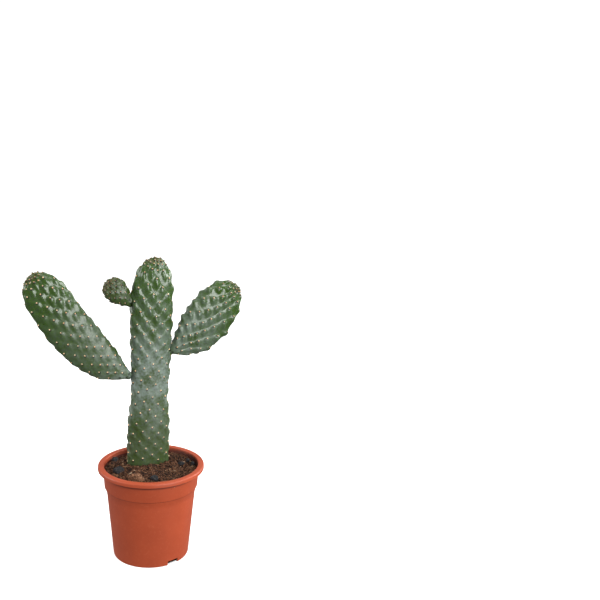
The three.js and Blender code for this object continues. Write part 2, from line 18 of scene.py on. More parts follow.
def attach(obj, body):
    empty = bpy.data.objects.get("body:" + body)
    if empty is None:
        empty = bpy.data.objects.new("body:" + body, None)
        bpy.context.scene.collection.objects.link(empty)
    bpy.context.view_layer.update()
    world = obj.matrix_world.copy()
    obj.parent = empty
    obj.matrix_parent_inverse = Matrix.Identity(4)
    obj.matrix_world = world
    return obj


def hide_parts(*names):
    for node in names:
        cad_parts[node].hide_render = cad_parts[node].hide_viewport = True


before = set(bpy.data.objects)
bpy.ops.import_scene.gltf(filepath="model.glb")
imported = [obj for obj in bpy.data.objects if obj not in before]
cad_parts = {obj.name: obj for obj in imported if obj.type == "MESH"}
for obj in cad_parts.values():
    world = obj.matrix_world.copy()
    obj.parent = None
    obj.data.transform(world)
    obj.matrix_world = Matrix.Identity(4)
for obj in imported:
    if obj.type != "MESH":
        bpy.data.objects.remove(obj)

Array = np.ndarray
Object = bpy.types.Object
Material = bpy.types.Material
Colour = tuple[float, float, float]
Point = tuple[float, float, float]
Pair = tuple[float, float]
Faces = list[list[int]]

MM = 0.001
TURN = 2 * math.pi
# The clearance between neighbouring pieces, in millimetres.
GAP = 0.3
BODY = "root"
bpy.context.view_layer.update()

logging.basicConfig(level=logging.INFO, format="%(message)s")
log = logging.getLogger("cactus")


def srgb(red: float, green: float, blue: float) -> Colour:
    """Turn a screen colour, 0 to 255, into the linear colour that a shader takes, 0 to 1."""
    shares = (value / 255 for value in (red, green, blue))
    return tuple(one / 12.92 if one <= 0.04045 else ((one + 0.055) / 1.055) ** 2.4 for one in shares)


def ease(value: Array, low: float, high: float) -> Array:
    """Rise smoothly from 0 at low to 1 at high."""
    t = np.clip((np.asarray(value, float) - low) / (high - low), 0, 1)
    return t * t * (3 - 2 * t)


def grain(points: Array, size: float, seed: int, octaves: int = 4) -> Array:
    """Repeatable noise in space, summed over ever finer lattices.

    Args:
        points: Places, one row each, in millimetres.
        size: Spacing of the coarsest lattice, in millimetres.
        seed: Which noise it is.
        octaves: How many lattices are summed, each twice as fine and half as strong.

    Returns:
        A value between -1 and 1 for each place.
    """
    total = np.zeros(len(points))
    strength = 1.0
    reach = 0.0
    for octave in range(octaves):
        scaled = points / (size / 2 ** octave)
        corner = np.floor(scaled).astype(np.int64)
        t = scaled - corner
        t = t * t * (3 - 2 * t)
        value = np.zeros(len(points))
        for offset in np.ndindex(2, 2, 2):
            key = corner + np.array(offset)
            code = (key[:, 0] * 374761393 + key[:, 1] * 668265263 + key[:, 2] * 1440662683) & 0xFFFFFFFF
            code = (code + (seed * 8 + octave) * 974711) & 0xFFFFFFFF
            code = ((code ^ (code >> 13)) * 1274126177) & 0xFFFFFFFF
            code = ((code ^ (code >> 16)) * 668265263) & 0xFFFFFFFF
            level = ((code >> 8) & 0xFFFF) / 0x7FFF - 1
            weight = np.prod(np.where(np.array(offset) == 1, t, 1 - t), axis=1)
            value += weight * level
        total += strength * value
        reach += strength
        strength *= 0.5
    return total / reach


class Wire:
    """A node's output with arithmetic: each operator adds a Math node to its tree."""

    def __init__(self, graph: "Graph", socket: bpy.types.NodeSocket) -> None:
        """Hold the socket and the graph that it belongs to."""
        self.graph = graph
        self.socket = socket

    def _math(self, operation: str, *values: "Wire | float") -> "Wire":
        """Add one Math node."""
        return self.graph.node("ShaderNodeMath", {"operation": operation}, dict(enumerate(values)))

    def __add__(self, other: "Wire | float") -> "Wire":
        """Sum."""
        return self._math("ADD", self, other)

    def __radd__(self, other: float) -> "Wire":
        """Sum, reflected."""
        return self._math("ADD", other, self)

    def __sub__(self, other: "Wire | float") -> "Wire":
        """Difference."""
        return self._math("SUBTRACT", self, other)

    def __rsub__(self, other: float) -> "Wire":
        """Difference, reflected."""
        return self._math("SUBTRACT", other, self)

    def __mul__(self, other: "Wire | float") -> "Wire":
        """Product."""
        return self._math("MULTIPLY", self, other)


class Graph:
    """A node tree under construction, for a shader or for Geometry Nodes."""

    def __init__(self, tree: bpy.types.NodeTree) -> None:
        """Hold the tree."""
        self.tree = tree

    @staticmethod
    def _socket(node: bpy.types.Node, key: int | str) -> bpy.types.NodeSocket:
        """Find an input.

        Args:
            node: The node that has it.
            key: Its number, identifier or name.

        Returns:
            The input.
        """
        if isinstance(key, int):
            return node.inputs[key]
        for socket in node.inputs:
            if socket.identifier == key:
                return socket
        return node.inputs[key]

    def node(
        self, kind: str, settings: dict | None = None, inputs: dict | None = None, output: int | str = 0
    ) -> Wire:
        """Add a node, set it up and wire it.

        Args:
            kind: The node's type.
            settings: Its properties, set before its inputs; "stops" gives a ramp's places and colours.
            inputs: Values or wires, by each input's number, identifier or name.
            output: Which output to return, by number or name.

        Returns:
            The chosen output.
        """
        node = self.tree.nodes.new(kind)
        for name, value in (settings or {}).items():
            if name == "stops":
                ramp = node.color_ramp.elements
                while len(ramp) < len(value):
                    ramp.new(0.5)
                for element, (place, colour) in zip(ramp, value):
                    element.position = place
                    element.color = (*colour, 1)
            else:
                setattr(node, name, value)
        for key, value in (inputs or {}).items():
            socket = self._socket(node, key)
            if isinstance(value, Wire):
                self.tree.links.new(value.socket, socket)
            elif isinstance(value, tuple) and len(value) == 3 and socket.type == "RGBA":
                socket.default_value = (*value, 1)
            else:
                socket.default_value = value
        return Wire(self, node.outputs[output])


class Paint(Graph):
    """A surface material under construction. Its patterns are measured in millimetres."""

    def __init__(self, name: str) -> None:
        """Start an empty material.

        Args:
            name: Its name.
        """
        self.material = bpy.data.materials.new(name)
        self.material.use_nodes = True
        self.material.node_tree.nodes.clear()
        super().__init__(self.material.node_tree)
        place = self.node("ShaderNodeTexCoord", output="Object")
        self.place = self.stretched(place, (1 / MM, 1 / MM, 1 / MM))

    def stretched(self, place: Wire, scale: Point, turn: Point = (0, 0, 0)) -> Wire:
        """Turn and scale coordinates."""
        return self.node("ShaderNodeMapping", None, {"Vector": place, "Rotation": turn, "Scale": scale})

    def noise(self, size: float, detail: float = 3, place: Wire | None = None, warp: float = 0) -> Wire:
        """Cloudy noise, about 0 to 1, with patches of that size, finer layers and a bend of its own."""
        inputs = {"Vector": place or self.place, "Scale": 1 / size, "Detail": detail, "Distortion": warp}
        return self.node("ShaderNodeTexNoise", None, inputs)

    def cells(self, size: float, feature: str = "F1", place: Wire | None = None) -> Wire:
        """Distance from the middle or the edge of irregular cells of about that size."""
        inputs = {"Vector": place or self.place, "Scale": 1 / size}
        return self.node("ShaderNodeTexVoronoi", {"feature": feature}, inputs, "Distance")

    def attribute(self, name: str) -> Wire:
        """A number that the mesh carries at each point."""
        return self.node("ShaderNodeAttribute", {"attribute_name": name}, None, "Fac")

    def between(self, value: Wire, low: float, high: float) -> Wire:
        """Rise smoothly from 0 to 1 as the value goes from low to high."""
        inputs = {"Value": value, "From Min": low, "From Max": high}
        return self.node("ShaderNodeMapRange", {"interpolation_type": "SMOOTHSTEP"}, inputs)

    def blend(self, share: Wire | float, first: Wire | Colour, second: Wire | Colour) -> Wire:
        """Mix two colours."""
        inputs = {"Factor_Float": share, "A_Color": first, "B_Color": second}
        return self.node("ShaderNodeMix", {"data_type": "RGBA"}, inputs, 2)

    def ramp(self, value: Wire, stops: Sequence[tuple[float, Colour]]) -> Wire:
        """Colour a value by stops."""
        return self.node("ShaderNodeValToRGB", {"stops": stops}, {0: value})

    def height(self, axis: str = "Z") -> Wire:
        """One of the object's coordinates, in millimetres."""
        return self.node("ShaderNodeSeparateXYZ", None, {0: self.place}, axis)

    def away_from(self, point: Point) -> Wire:
        """Distance from a point, in millimetres."""
        ends = {0: self.place, 1: point}
        return self.node("ShaderNodeVectorMath", {"operation": "DISTANCE"}, ends, "Value")

    def off_axis(self) -> Wire:
        """Distance from the object's upright axis, in millimetres."""
        flat = {0: self.stretched(self.place, (1, 1, 0))}
        return self.node("ShaderNodeVectorMath", {"operation": "LENGTH"}, flat, "Value")

    def bump(self, height: Wire, depth: float, under: Wire | None = None) -> Wire:
        """Make the surface uneven.

        Args:
            height: The height, 0 to 1.
            depth: What a height of 1 measures, in millimetres.
            under: A bump that this one lies on.

        Returns:
            The normal.
        """
        inputs = {"Height": height, "Distance": depth * MM}
        if under:
            inputs["Normal"] = under
        return self.node("ShaderNodeBump", None, inputs)

    def finish(self, **surface: Wire | float | Colour) -> Material:
        """Close the material with its surface.

        Args:
            surface: The surface shader's inputs, with underlines for spaces.

        Returns:
            The material.
        """
        inputs = {name.replace("_", " "): value for name, value in surface.items()}
        shader = self.node("ShaderNodeBsdfPrincipled", None, inputs)
        output = self.tree.nodes.new("ShaderNodeOutputMaterial")
        self.tree.links.new(shader.socket, output.inputs["Surface"])
        return self.material


def linked(name: str, data: bpy.types.ID) -> Object:
    """Make an object and link it to the scene.

    Args:
        name: Its name.
        data: Its mesh, light or camera.

    Returns:
        The object.
    """
    made = bpy.data.objects.new(name, data)
    bpy.context.scene.collection.objects.link(made)
    return made


def make_object(
    name: str,
    points: Array,
    faces: Sequence[Sequence[int]],
    material: Material | None = None,
    numbers: dict[str, Array] | None = None,
    sharp_over: float = 180,
) -> Object:
    """Make a mesh object, with its place in its mesh.

    Args:
        name: The object's name.
        points: Its points, in millimetres.
        faces: Its faces, as numbers of points, wound outwards.
        material: Its material.
        numbers: Values or vectors to carry at each point, by name.
        sharp_over: The angle between faces, in degrees, past which an edge is shaded sharp.

    Returns:
        The object, linked to the scene.
    """
    mesh = bpy.data.meshes.new(name)
    mesh.from_pydata((np.asarray(points, float) * MM).tolist(), [], [list(map(int, face)) for face in faces])
    for key, values in (numbers or {}).items():
        values = np.asarray(values, np.float32)
        kind, slot = ("FLOAT_VECTOR", "vector") if values.ndim == 2 else ("FLOAT", "value")
        mesh.attributes.new(key, kind, "POINT").data.foreach_set(slot, values.ravel())
    mesh.shade_smooth()
    if sharp_over < 180:
        mesh.set_sharp_from_angle(angle=math.radians(sharp_over))
    if material:
        mesh.materials.append(material)
    return linked(name, mesh)


def ring_faces(rings: int, segments: int, flipped: bool = False) -> Faces:
    """Faces over a first point, rings of points and a last point.

    Args:
        rings: How many rings there are.
        segments: How many points each ring has.
        flipped: Whether the faces are wound the other way round.

    Returns:
        The faces, wound outwards where the rings go down and run anticlockwise as seen from above.
    """
    last = 1 + rings * segments
    faces = []
    for step in range(segments):
        after = (step + 1) % segments
        faces.append([0, 1 + step, 1 + after])
        for row in range(1, last - segments, segments):
            faces.append([row + step, row + segments + step, row + segments + after, row + after])
        row = last - segments
        faces.append([row + after, row + step, last])
    return [[face[0], *face[:0:-1]] for face in faces] if flipped else faces


def frozen(source: Object, name: str) -> Object:
    """Turn an object with live modifiers into a plain mesh object, and drop the source.

    Args:
        source: The object whose modifiers are to be kept as mesh.
        name: The new object's name.

    Returns:
        The new object.
    """
    bpy.context.view_layer.update()
    depsgraph = bpy.context.evaluated_depsgraph_get()
    mesh = bpy.data.meshes.new_from_object(source.evaluated_get(depsgraph), depsgraph=depsgraph)
    source.modifiers.clear()
    bpy.data.objects.remove(source)
    mesh.name = name
    return linked(name, mesh)


def settle(piece: Object, slot: str, *nodes: str) -> Object:
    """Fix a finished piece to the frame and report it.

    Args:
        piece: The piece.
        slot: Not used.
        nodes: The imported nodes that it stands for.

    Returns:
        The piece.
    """
    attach(piece, BODY)
    if nodes:
        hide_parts(*nodes)
    triangles = sum(len(polygon.vertices) - 2 for polygon in piece.data.polygons)
    log.info("%s: %d triangles", piece.name, triangles)
    return piece


class Ground(Enum):
    """What copies are planted on."""

    POINTS = "points"
    FACES = "faces"


class Planting:
    """A Geometry Nodes tree that plants copies of some shapes on points or faces."""

    INPUTS = (
        ("Amount", "NodeSocketFloat"),
        ("Tilt", "NodeSocketFloat"),
        ("Smallest", "NodeSocketFloat"),
        ("Largest", "NodeSocketFloat"),
        ("Seed", "NodeSocketInt"),
        ("Shapes", "NodeSocketCollection"),
        ("Finish", "NodeSocketMaterial"),
    )

    def __init__(self, ground: Ground) -> None:
        """Build the tree.

        Args:
            ground: Whether copies stand on a mesh's points, several on each, or all over its faces.
                Points carry "normal" and "size"; faces carry "open", the share of copies that they get.
        """
        self.ground = ground
        self.tree = bpy.data.node_groups.new(f"planting_on_{ground.value}", "GeometryNodeTree")
        interface = self.tree.interface
        interface.new_socket(name="Geometry", in_out="OUTPUT", socket_type="NodeSocketGeometry")
        interface.new_socket(name="Geometry", in_out="INPUT", socket_type="NodeSocketGeometry")
        for name, kind in self.INPUTS:
            interface.new_socket(name=name, in_out="INPUT", socket_type=kind)
        self.keys = {item.name: item.identifier for item in interface.items_tree if item.in_out == "INPUT"}
        self._wire()

    def _random(self, graph: Graph, low: Wire | float, high: Wire | float, seed: Wire) -> Wire:
        """A random number for each copy."""
        inputs = {"Min_001": low, "Max_001": high, "Seed": seed}
        return graph.node("FunctionNodeRandomValue", {"data_type": "FLOAT"}, inputs, 1)

    def _wire(self) -> None:
        """Wire the nodes from the group's inputs to its output."""
        graph = Graph(self.tree)
        given = self.tree.nodes.new("NodeGroupInput")
        value = {name: Wire(graph, given.outputs[name]) for name in ("Geometry", *dict(self.INPUTS))}
        seed = value["Seed"]
        size = self._random(graph, value["Smallest"], value["Largest"], seed)
        number = {"data_type": "FLOAT"}
        if self.ground is Ground.POINTS:
            inputs = {"Geometry": value["Geometry"], "Amount": value["Amount"]}
            points = graph.node("GeometryNodeDuplicateElements", {"domain": "POINT"}, inputs)
            named = {"data_type": "FLOAT_VECTOR"}
            normal = graph.node("GeometryNodeInputNamedAttribute", named, {"Name": "normal"})
            size = size * graph.node("GeometryNodeInputNamedAttribute", number, {"Name": "size"})
        else:
            share = graph.node("GeometryNodeInputNamedAttribute", number, {"Name": "open"})
            settings = {"distribute_method": "RANDOM"}
            inputs = {"Mesh": value["Geometry"], "Density": value["Amount"] * share, "Seed": seed}
            points = graph.node("GeometryNodeDistributePointsOnFaces", settings, inputs)
            normal = Wire(graph, points.socket.node.outputs["Normal"])
        limits = {"Min": (-1, -1, -1), "Max": (1, 1, 1), "Seed": seed + 1}
        sway = graph.node("FunctionNodeRandomValue", {"data_type": "FLOAT_VECTOR"}, limits)
        lean = {"Vector": sway, "Scale": value["Tilt"]}
        sway = graph.node("ShaderNodeVectorMath", {"operation": "SCALE"}, lean)
        aim = graph.node("ShaderNodeVectorMath", {"operation": "ADD"}, {0: normal, 1: sway})
        upright = graph.node("FunctionNodeAlignRotationToVector", {"axis": "Z"}, {"Vector": aim})
        spin = self._random(graph, 0.0, TURN, seed + 2)
        spin = graph.node("ShaderNodeCombineXYZ", None, {"Z": spin})
        spun = {"Rotation": upright, "Rotate By": graph.node("FunctionNodeEulerToRotation", None, {0: spin})}
        rotation = graph.node("FunctionNodeRotateRotation", {"rotation_space": "LOCAL"}, spun)
        whole = {"Collection": value["Shapes"], "Separate Children": True, "Reset Children": True}
        shapes = graph.node("GeometryNodeCollectionInfo", None, whole)
        limits = {"Min_002": 0, "Max_002": 999, "Seed": seed + 3}
        which = graph.node("FunctionNodeRandomValue", {"data_type": "INT"}, limits, 2)
        inputs = {"Points": points, "Instance": shapes, "Pick Instance": True, "Instance Index": which}
        inputs |= {"Rotation": rotation, "Scale": size}
        copies = graph.node("GeometryNodeInstanceOnPoints", None, inputs)
        shade = self._random(graph, 0.0, 1.0, seed + 4)
        named = {"data_type": "FLOAT", "domain": "INSTANCE"}
        inputs = {"Geometry": copies, "Name": "shade", "Value": shade}
        copies = graph.node("GeometryNodeStoreNamedAttribute", named, inputs)
        copies = graph.node("GeometryNodeRealizeInstances", None, {"Geometry": copies})
        inputs = {"Geometry": copies, "Material": value["Finish"]}
        copies = graph.node("GeometryNodeSetMaterial", None, inputs)
        output = self.tree.nodes.new("NodeGroupOutput")
        self.tree.links.new(copies.socket, output.inputs["Geometry"])

    def plant(self, name: str, ground: Object, shapes: list[Object], **given: float | Material) -> Object:
        """Plant the shapes and keep the result as a plain mesh.

        Args:
            name: The new piece's name.
            ground: The object that carries the copies. It is used up.
            shapes: The shapes to choose from. They are used up.
            given: The tree's inputs, by name.

        Returns:
            The piece.
        """
        collection = bpy.data.collections.new(f"{name}_shapes")
        for shape in shapes:
            bpy.context.scene.collection.objects.unlink(shape)
            collection.objects.link(shape)
        modifier = ground.modifiers.new("planting", "NODES")
        modifier.node_group = self.tree
        for key, value in {**given, "Shapes": collection}.items():
            modifier[self.keys[key]] = value
        made = frozen(ground, name)
        for shape in shapes:
            bpy.data.objects.remove(shape)
        bpy.data.collections.remove(collection)
        return made


@dataclass(frozen=True)
class PotPlastic:
    """Smooth terracotta-coloured moulded plastic, faintly satin, with dust by the soil.

    "lip_under" and "collar_edge" are the heights of the lip's underside and the collar's edge, where
    painted shade darkens a band and a line. "collar_middle" is the radius of the middle of the collar's
    wall there and "widening" is how much that grows with height. Soil dust and painted shade darken the
    inner wall between the heights of "dust_and_shade_from" and "dust_and_shade_to".
    """

    name: str = "pot_plastic"
    body: Colour = srgb(182, 77, 44)
    worn: Colour = srgb(196, 98, 64)
    deep: Colour = srgb(170, 70, 39)
    # The dust colour is also the painted shade on the inner wall.
    dust: Colour = srgb(62, 34, 26)
    shade: Colour = srgb(88, 33, 21)
    lip_under: float = 100.9
    collar_edge: float = 81.2
    collar_middle: float = 52.2
    widening: float = 0.07
    dust_and_shade_from: Pair = (84, 96)
    dust_and_shade_to: Pair = (104, 107.4)
    stain_at: Point = (-57.5, -12, 104)

    def material(self) -> Material:
        """Build the material.

        Returns:
            The material.
        """
        paint = Paint(self.name)
        cloud = paint.noise(26, 4)
        fine = paint.noise(0.55, 2)
        colour = paint.blend(paint.between(cloud, 0.35, 0.65) * 0.5, self.body, self.deep)
        colour = paint.blend(paint.between(paint.noise(3.1, 5), 0.52, 0.75) * 0.28, colour, self.worn)
        up = paint.height()
        # Soil dust and painted shade darken the inner wall up to a ragged line, most of all at the right.
        from_middle = paint.off_axis() - (up - self.collar_edge) * self.widening
        dust_and_shade = 1 - paint.between(from_middle, self.collar_middle - 0.2, self.collar_middle + 0.2)
        dust_and_shade = dust_and_shade * paint.between(up, *self.dust_and_shade_from)
        dust_and_shade = dust_and_shade * (1 - paint.between(up + paint.noise(4, 4) * 4, *self.dust_and_shade_to))
        # Painted shade: the darkening is three times as strong at the right, where the inner wall faces away
        # from the key light.
        dust_and_shade = dust_and_shade * (0.3 + paint.between(paint.height("X"), -10, 40) * 0.6)
        colour = paint.blend(dust_and_shade, colour, self.dust)
        # Painted shade: the crevice under the lip and a thin line along the collar's edge are darkened
        # towards the shade colour.
        crevice_shade = paint.between(up, self.lip_under - 5.5, self.lip_under - 2.4)
        crevice_shade = crevice_shade * (1 - paint.between(up, self.lip_under, self.lip_under + 0.3))
        edge = paint.between(up, self.collar_edge - 1, self.collar_edge)
        edge = edge * (1 - paint.between(up, self.collar_edge, self.collar_edge + 0.5))
        colour = paint.blend(crevice_shade * 0.95 + edge * 0.6, colour, self.shade)
        stain = (1 - paint.between(paint.away_from(self.stain_at) + paint.noise(1.5, 3) * 2, 1.4, 3.2)) * 0.55
        colour = paint.blend(stain, colour, self.dust)
        rough = 0.4 + paint.noise(7, 4) * 0.14 + dust_and_shade * 0.25
        normal = paint.bump(fine, 0.02, paint.bump(paint.noise(9, 2), 0.12))
        return paint.finish(Base_Color=colour, Roughness=rough, Normal=normal, Specular_IOR_Level=0.5)


@dataclass(frozen=True)
class PadSkin:
    """Waxy green skin: vivid where it is young, greyed by bloom lower down, with a painted shadow below each
    areole.
    """

    name: str = "pad_skin"
    old: Colour = srgb(58, 76, 30)
    dark: Colour = srgb(36, 56, 24)
    young: Colour = srgb(54, 84, 12)
    olive: Colour = srgb(56, 70, 8)
    bloom: Colour = srgb(126, 140, 131)
    areole_shadow: Colour = srgb(20, 28, 16)
    cork: Colour = srgb(140, 116, 82)
    bud: Colour = srgb(104, 84, 46)
    scar: Colour = srgb(46, 66, 22)
    scar_at: Point = (-0.5, 3, 131.5)

    def material(self) -> Material:
        """Build the material.

        Returns:
            The material.
        """
        paint = Paint(self.name)
        crest = paint.attribute("crest")
        youth = paint.attribute("youth")
        wax = paint.attribute("wax")
        mottle = paint.noise(2.6, 5)
        cloud = paint.noise(17, 4, warp=0.4)
        # The green goes from old to young, and on to olive on a bud.
        green = paint.blend(youth, self.old, self.young)
        green = paint.blend(paint.between(youth, 1.2, 2), green, self.olive)
        green = paint.blend(paint.between(mottle, 0.42, 0.66) * 0.5, green, self.dark)
        # Bloom lies in clouds, thickest on the crests.
        dusty = paint.between(cloud + mottle * 0.6, 0.56, 1.0) * wax
        dusty = dusty * (0.75 + crest * 0.25)
        colour = paint.blend(dusty, green, self.bloom)
        # Tips are brownish, a painted shadow darkens the skin on the root side of each areole, and cork
        # specks lie in some places.
        brown = paint.attribute("tip") * paint.between(mottle, 0.4, 0.6) * 0.7
        colour = paint.blend(brown, colour, self.bud)
        areole_shadow = (1 - paint.between(paint.attribute("near"), 0.9, 2.1)) * 0.85
        colour = paint.blend(areole_shadow, colour, self.areole_shadow)
        speck = (1 - paint.between(paint.cells(7.5), 0.03, 0.07)) * paint.between(paint.noise(11), 0.56, 0.64)
        colour = paint.blend(speck * 0.6, colour, self.cork)
        scar = 1 - paint.between(paint.away_from(self.scar_at) + paint.noise(2, 2) * 2.4, 3, 5.4)
        colour = paint.blend(scar * 0.75, colour, self.scar)
        rough = 0.4 - paint.between(youth, 0, 1) * 0.14 + dusty * 0.12 + (mottle - 0.5) * 0.12
        rough = rough + paint.between(youth, 1.2, 2) * 0.22
        normal = paint.bump(mottle, 0.14, paint.bump(paint.noise(5.5, 3), 0.3))
        normal = paint.bump(paint.noise(0.7, 3), 0.04, normal)
        return paint.finish(
            Base_Color=colour, Roughness=rough, Normal=normal, Specular_IOR_Level=0.66,
            Subsurface_Weight=0.1, Subsurface_Scale=1.5 * MM, Subsurface_Radius=(0.4, 1.0, 0.25),
        )


@dataclass(frozen=True)
class SoilMix:
    """Damp fibrous potting mix, from near black in the gaps to light brown on its fibres, with painted shade
    in its low places.
    """

    name: str = "soil_mix"
    gap: Colour = srgb(20, 13, 10)
    mid: Colour = srgb(78, 48, 33)
    light: Colour = srgb(150, 106, 78)

    def material(self) -> Material:
        """Build the material.

        Returns:
            The material.
        """
        paint = Paint(self.name)
        thread_a = paint.noise(1.1, 4, paint.stretched(paint.place, (1, 0.2, 0.6), (0, 0, 0.6)), 0.6)
        thread_b = paint.noise(1.0, 4, paint.stretched(paint.place, (1, 0.22, 0.6), (0, 0, -0.9)), 0.6)
        crumb = paint.noise(2.6, 6)
        stops = ((0.3, self.gap), (0.47, self.mid), (0.66, self.light))
        colour = paint.ramp(crumb * 0.45 + thread_a * 0.3 + thread_b * 0.25, stops)
        # Painted shade: places that stand lower than their surroundings are darkened towards the gap colour.
        deep = 1 - paint.between(paint.attribute("crest"), 0.2, 0.8)
        colour = paint.blend(deep * 0.92, colour, self.gap)
        normal = paint.bump(thread_a + thread_b, 0.5, paint.bump(crumb, 1.4))
        return paint.finish(Base_Color=colour, Roughness=0.92, Normal=normal, Specular_IOR_Level=0.2)


@dataclass(frozen=True)
class Speckled:
    """Loose bits that each take their own colour from a row of colours, with a fine grain."""

    name: str
    colours: tuple[Colour, ...]
    grain_size: float = 0.8
    roughness: float = 0.88

    def material(self) -> Material:
        """Build the material.

        Returns:
            The material.
        """
        paint = Paint(self.name)
        last = len(self.colours) - 1
        stops = [(place / last, colour) for place, colour in enumerate(self.colours)]
        fine = paint.noise(self.grain_size, 4)
        colour = paint.ramp(paint.attribute("shade") + (fine - 0.5) * 0.5, stops)
        normal = paint.bump(fine, 0.25)
        return paint.finish(
            Base_Color=colour, Roughness=self.roughness, Normal=normal, Specular_IOR_Level=0.25
        )


@dataclass(frozen=True)
class Charcoal:
    """Charcoal: bluish black, cracked across its grain, with dull glints and brown dust."""

    name: str = "charcoal"
    black: Colour = srgb(24, 24, 27)
    grey: Colour = srgb(62, 62, 67)
    dust: Colour = srgb(96, 70, 54)

    def material(self) -> Material:
        """Build the material.

        Returns:
            The material.
        """
        paint = Paint(self.name)
        lines = paint.noise(0.9, 4, paint.stretched(paint.place, (1, 1, 0.25), (0.5, 0.3, 0)), 0.3)
        crack = paint.cells(2.6, "DISTANCE_TO_EDGE")
        colour = paint.blend(paint.between(lines, 0.45, 0.7) * 0.7, self.black, self.grey)
        colour = paint.blend(paint.between(paint.noise(2.2, 5), 0.55, 0.75) * 0.6, colour, self.dust)
        normal = paint.bump(paint.between(crack, 0, 0.12), 0.35, paint.bump(lines, 0.4))
        rough = 0.45 + paint.noise(2, 3) * 0.35
        return paint.finish(Base_Color=colour, Roughness=rough, Normal=normal, Specular_IOR_Level=0.36)


@dataclass(frozen=True)
class Bark:
    """A dry round lump of bark fibre, tan with dark cracks."""

    name: str = "bark"
    tan: Colour = srgb(160, 116, 88)
    brown: Colour = srgb(100, 68, 49)
    crack: Colour = srgb(46, 32, 23)

    def material(self) -> Material:
        """Build the material.

        Returns:
            The material.
        """
        paint = Paint(self.name)
        strands = paint.noise(1.2, 5, paint.stretched(paint.place, (1, 0.3, 1), (0.2, 0.4, 0.5)), 1.2)
        pits = paint.noise(2.4, 5)
        stops = ((0.36, self.crack), (0.48, self.brown), (0.64, self.tan))
        colour = paint.ramp(strands * 0.6 + pits * 0.4, stops)
        normal = paint.bump(strands, 0.8, paint.bump(pits, 1))
        return paint.finish(Base_Color=colour, Roughness=0.93, Normal=normal, Specular_IOR_Level=0.2)


@dataclass(frozen=True)
class Felt:
    """The areoles' woolly felt, cream to peach and browner where it is young."""

    name: str = "areole_felt"
    cream: Colour = srgb(250, 222, 180)
    peach: Colour = srgb(240, 188, 132)
    brown: Colour = srgb(176, 138, 84)

    def material(self) -> Material:
        """Build the material.

        Returns:
            The material.
        """
        paint = Paint(self.name)
        wool = paint.noise(0.25, 3)
        stops = ((0, self.cream), (1, self.peach))
        colour = paint.ramp(paint.attribute("shade") + (wool - 0.5) * 0.4, stops)
        colour = paint.blend(paint.attribute("fresh"), colour, self.brown)
        normal = paint.bump(wool, 0.15)
        return paint.finish(
            Base_Color=colour, Roughness=0.9, Normal=normal, Specular_IOR_Level=0.15,
            Sheen_Weight=0.3, Sheen_Roughness=0.5,
        )


@dataclass(frozen=True)
class YoungLeaf:
    """The small fleshy leaves by the youngest areoles, purplish grey at their tips."""

    name: str = "young_leaf"
    green: Colour = srgb(72, 90, 30)
    purple: Colour = srgb(68, 56, 52)

    def material(self) -> Material:
        """Build the material.

        Returns:
            The material.
        """
        paint = Paint(self.name)
        share = paint.between(paint.attribute("tip") + paint.attribute("shade") * 0.35, 0.15, 0.75)
        colour = paint.blend(share, self.green, self.purple)
        return paint.finish(Base_Color=colour, Roughness=0.34, Normal=paint.bump(paint.noise(0.5), 0.04))


@dataclass(frozen=True)
class PaleFloor:
    """A plain pale studio floor."""

    name: str = "pale_floor"
    colour: Colour = srgb(246, 246, 245)

    def material(self) -> Material:
        """Build the material.

        Returns:
            The material.
        """
        paint = Paint(self.name)
        rough = 0.75 + paint.noise(60, 2) * 0.1
        return paint.finish(Base_Color=self.colour, Roughness=rough, Specular_IOR_Level=0.1)


# The pads' section is a superellipse of this power: a little squarer than an ellipse.
FLATNESS = 2.4

# Each areole follows the one before by the golden share of a turn. Their count starts just ahead of
# the tip, and a bow or a slant is full once SPIRAL_SETTLED are passed. A cell lies between an areole
# and those that are 5, 8 and 13 on. The vectors are a common cell's two sides, across and down.
GOLDEN = (3 - math.sqrt(5)) / 2
SPIRAL_START = -0.5
SPIRAL_SETTLED = 20
SHORT_STEP = 5
LONG_STEP = 8
SHORT_TURN = SHORT_STEP * GOLDEN - 2
LONG_TURN = LONG_STEP * GOLDEN - 3
SHORT_VECTOR = (-10.6, 5.3)
LONG_VECTOR = (6.6, 8.5)
BORDER = SHORT_STEP + LONG_STEP
# No point counts as lying farther from an areole's painted shadow than this.
FAR = 9.0


def smooth_through(rows: Array, x: Array, column: int) -> Array:
    """Read a smooth curve through rows whose first column is x.

    Args:
        rows: The rows.
        x: Where to read the curve.
        column: The column that holds its values.

    Returns:
        The values.
    """
    last = len(rows) - 1
    places = rows[:, 0]
    values = rows[:, column]
    before = np.maximum(np.arange(last + 1) - 1, 0)
    after = np.minimum(np.arange(last + 1) + 1, last)
    slopes = (values[after] - values[before]) / (places[after] - places[before])
    i = np.clip(np.searchsorted(places, x) - 1, 0, last - 1)
    span = places[i + 1] - places[i]
    t = np.clip((x - places[i]) / span, 0, 1)
    even = values[i] + (values[i + 1] - values[i]) * t * t * (3 - 2 * t)
    return even + slopes[i] * span * t * (1 - t) ** 2 - slopes[i + 1] * span * t * t * (1 - t)


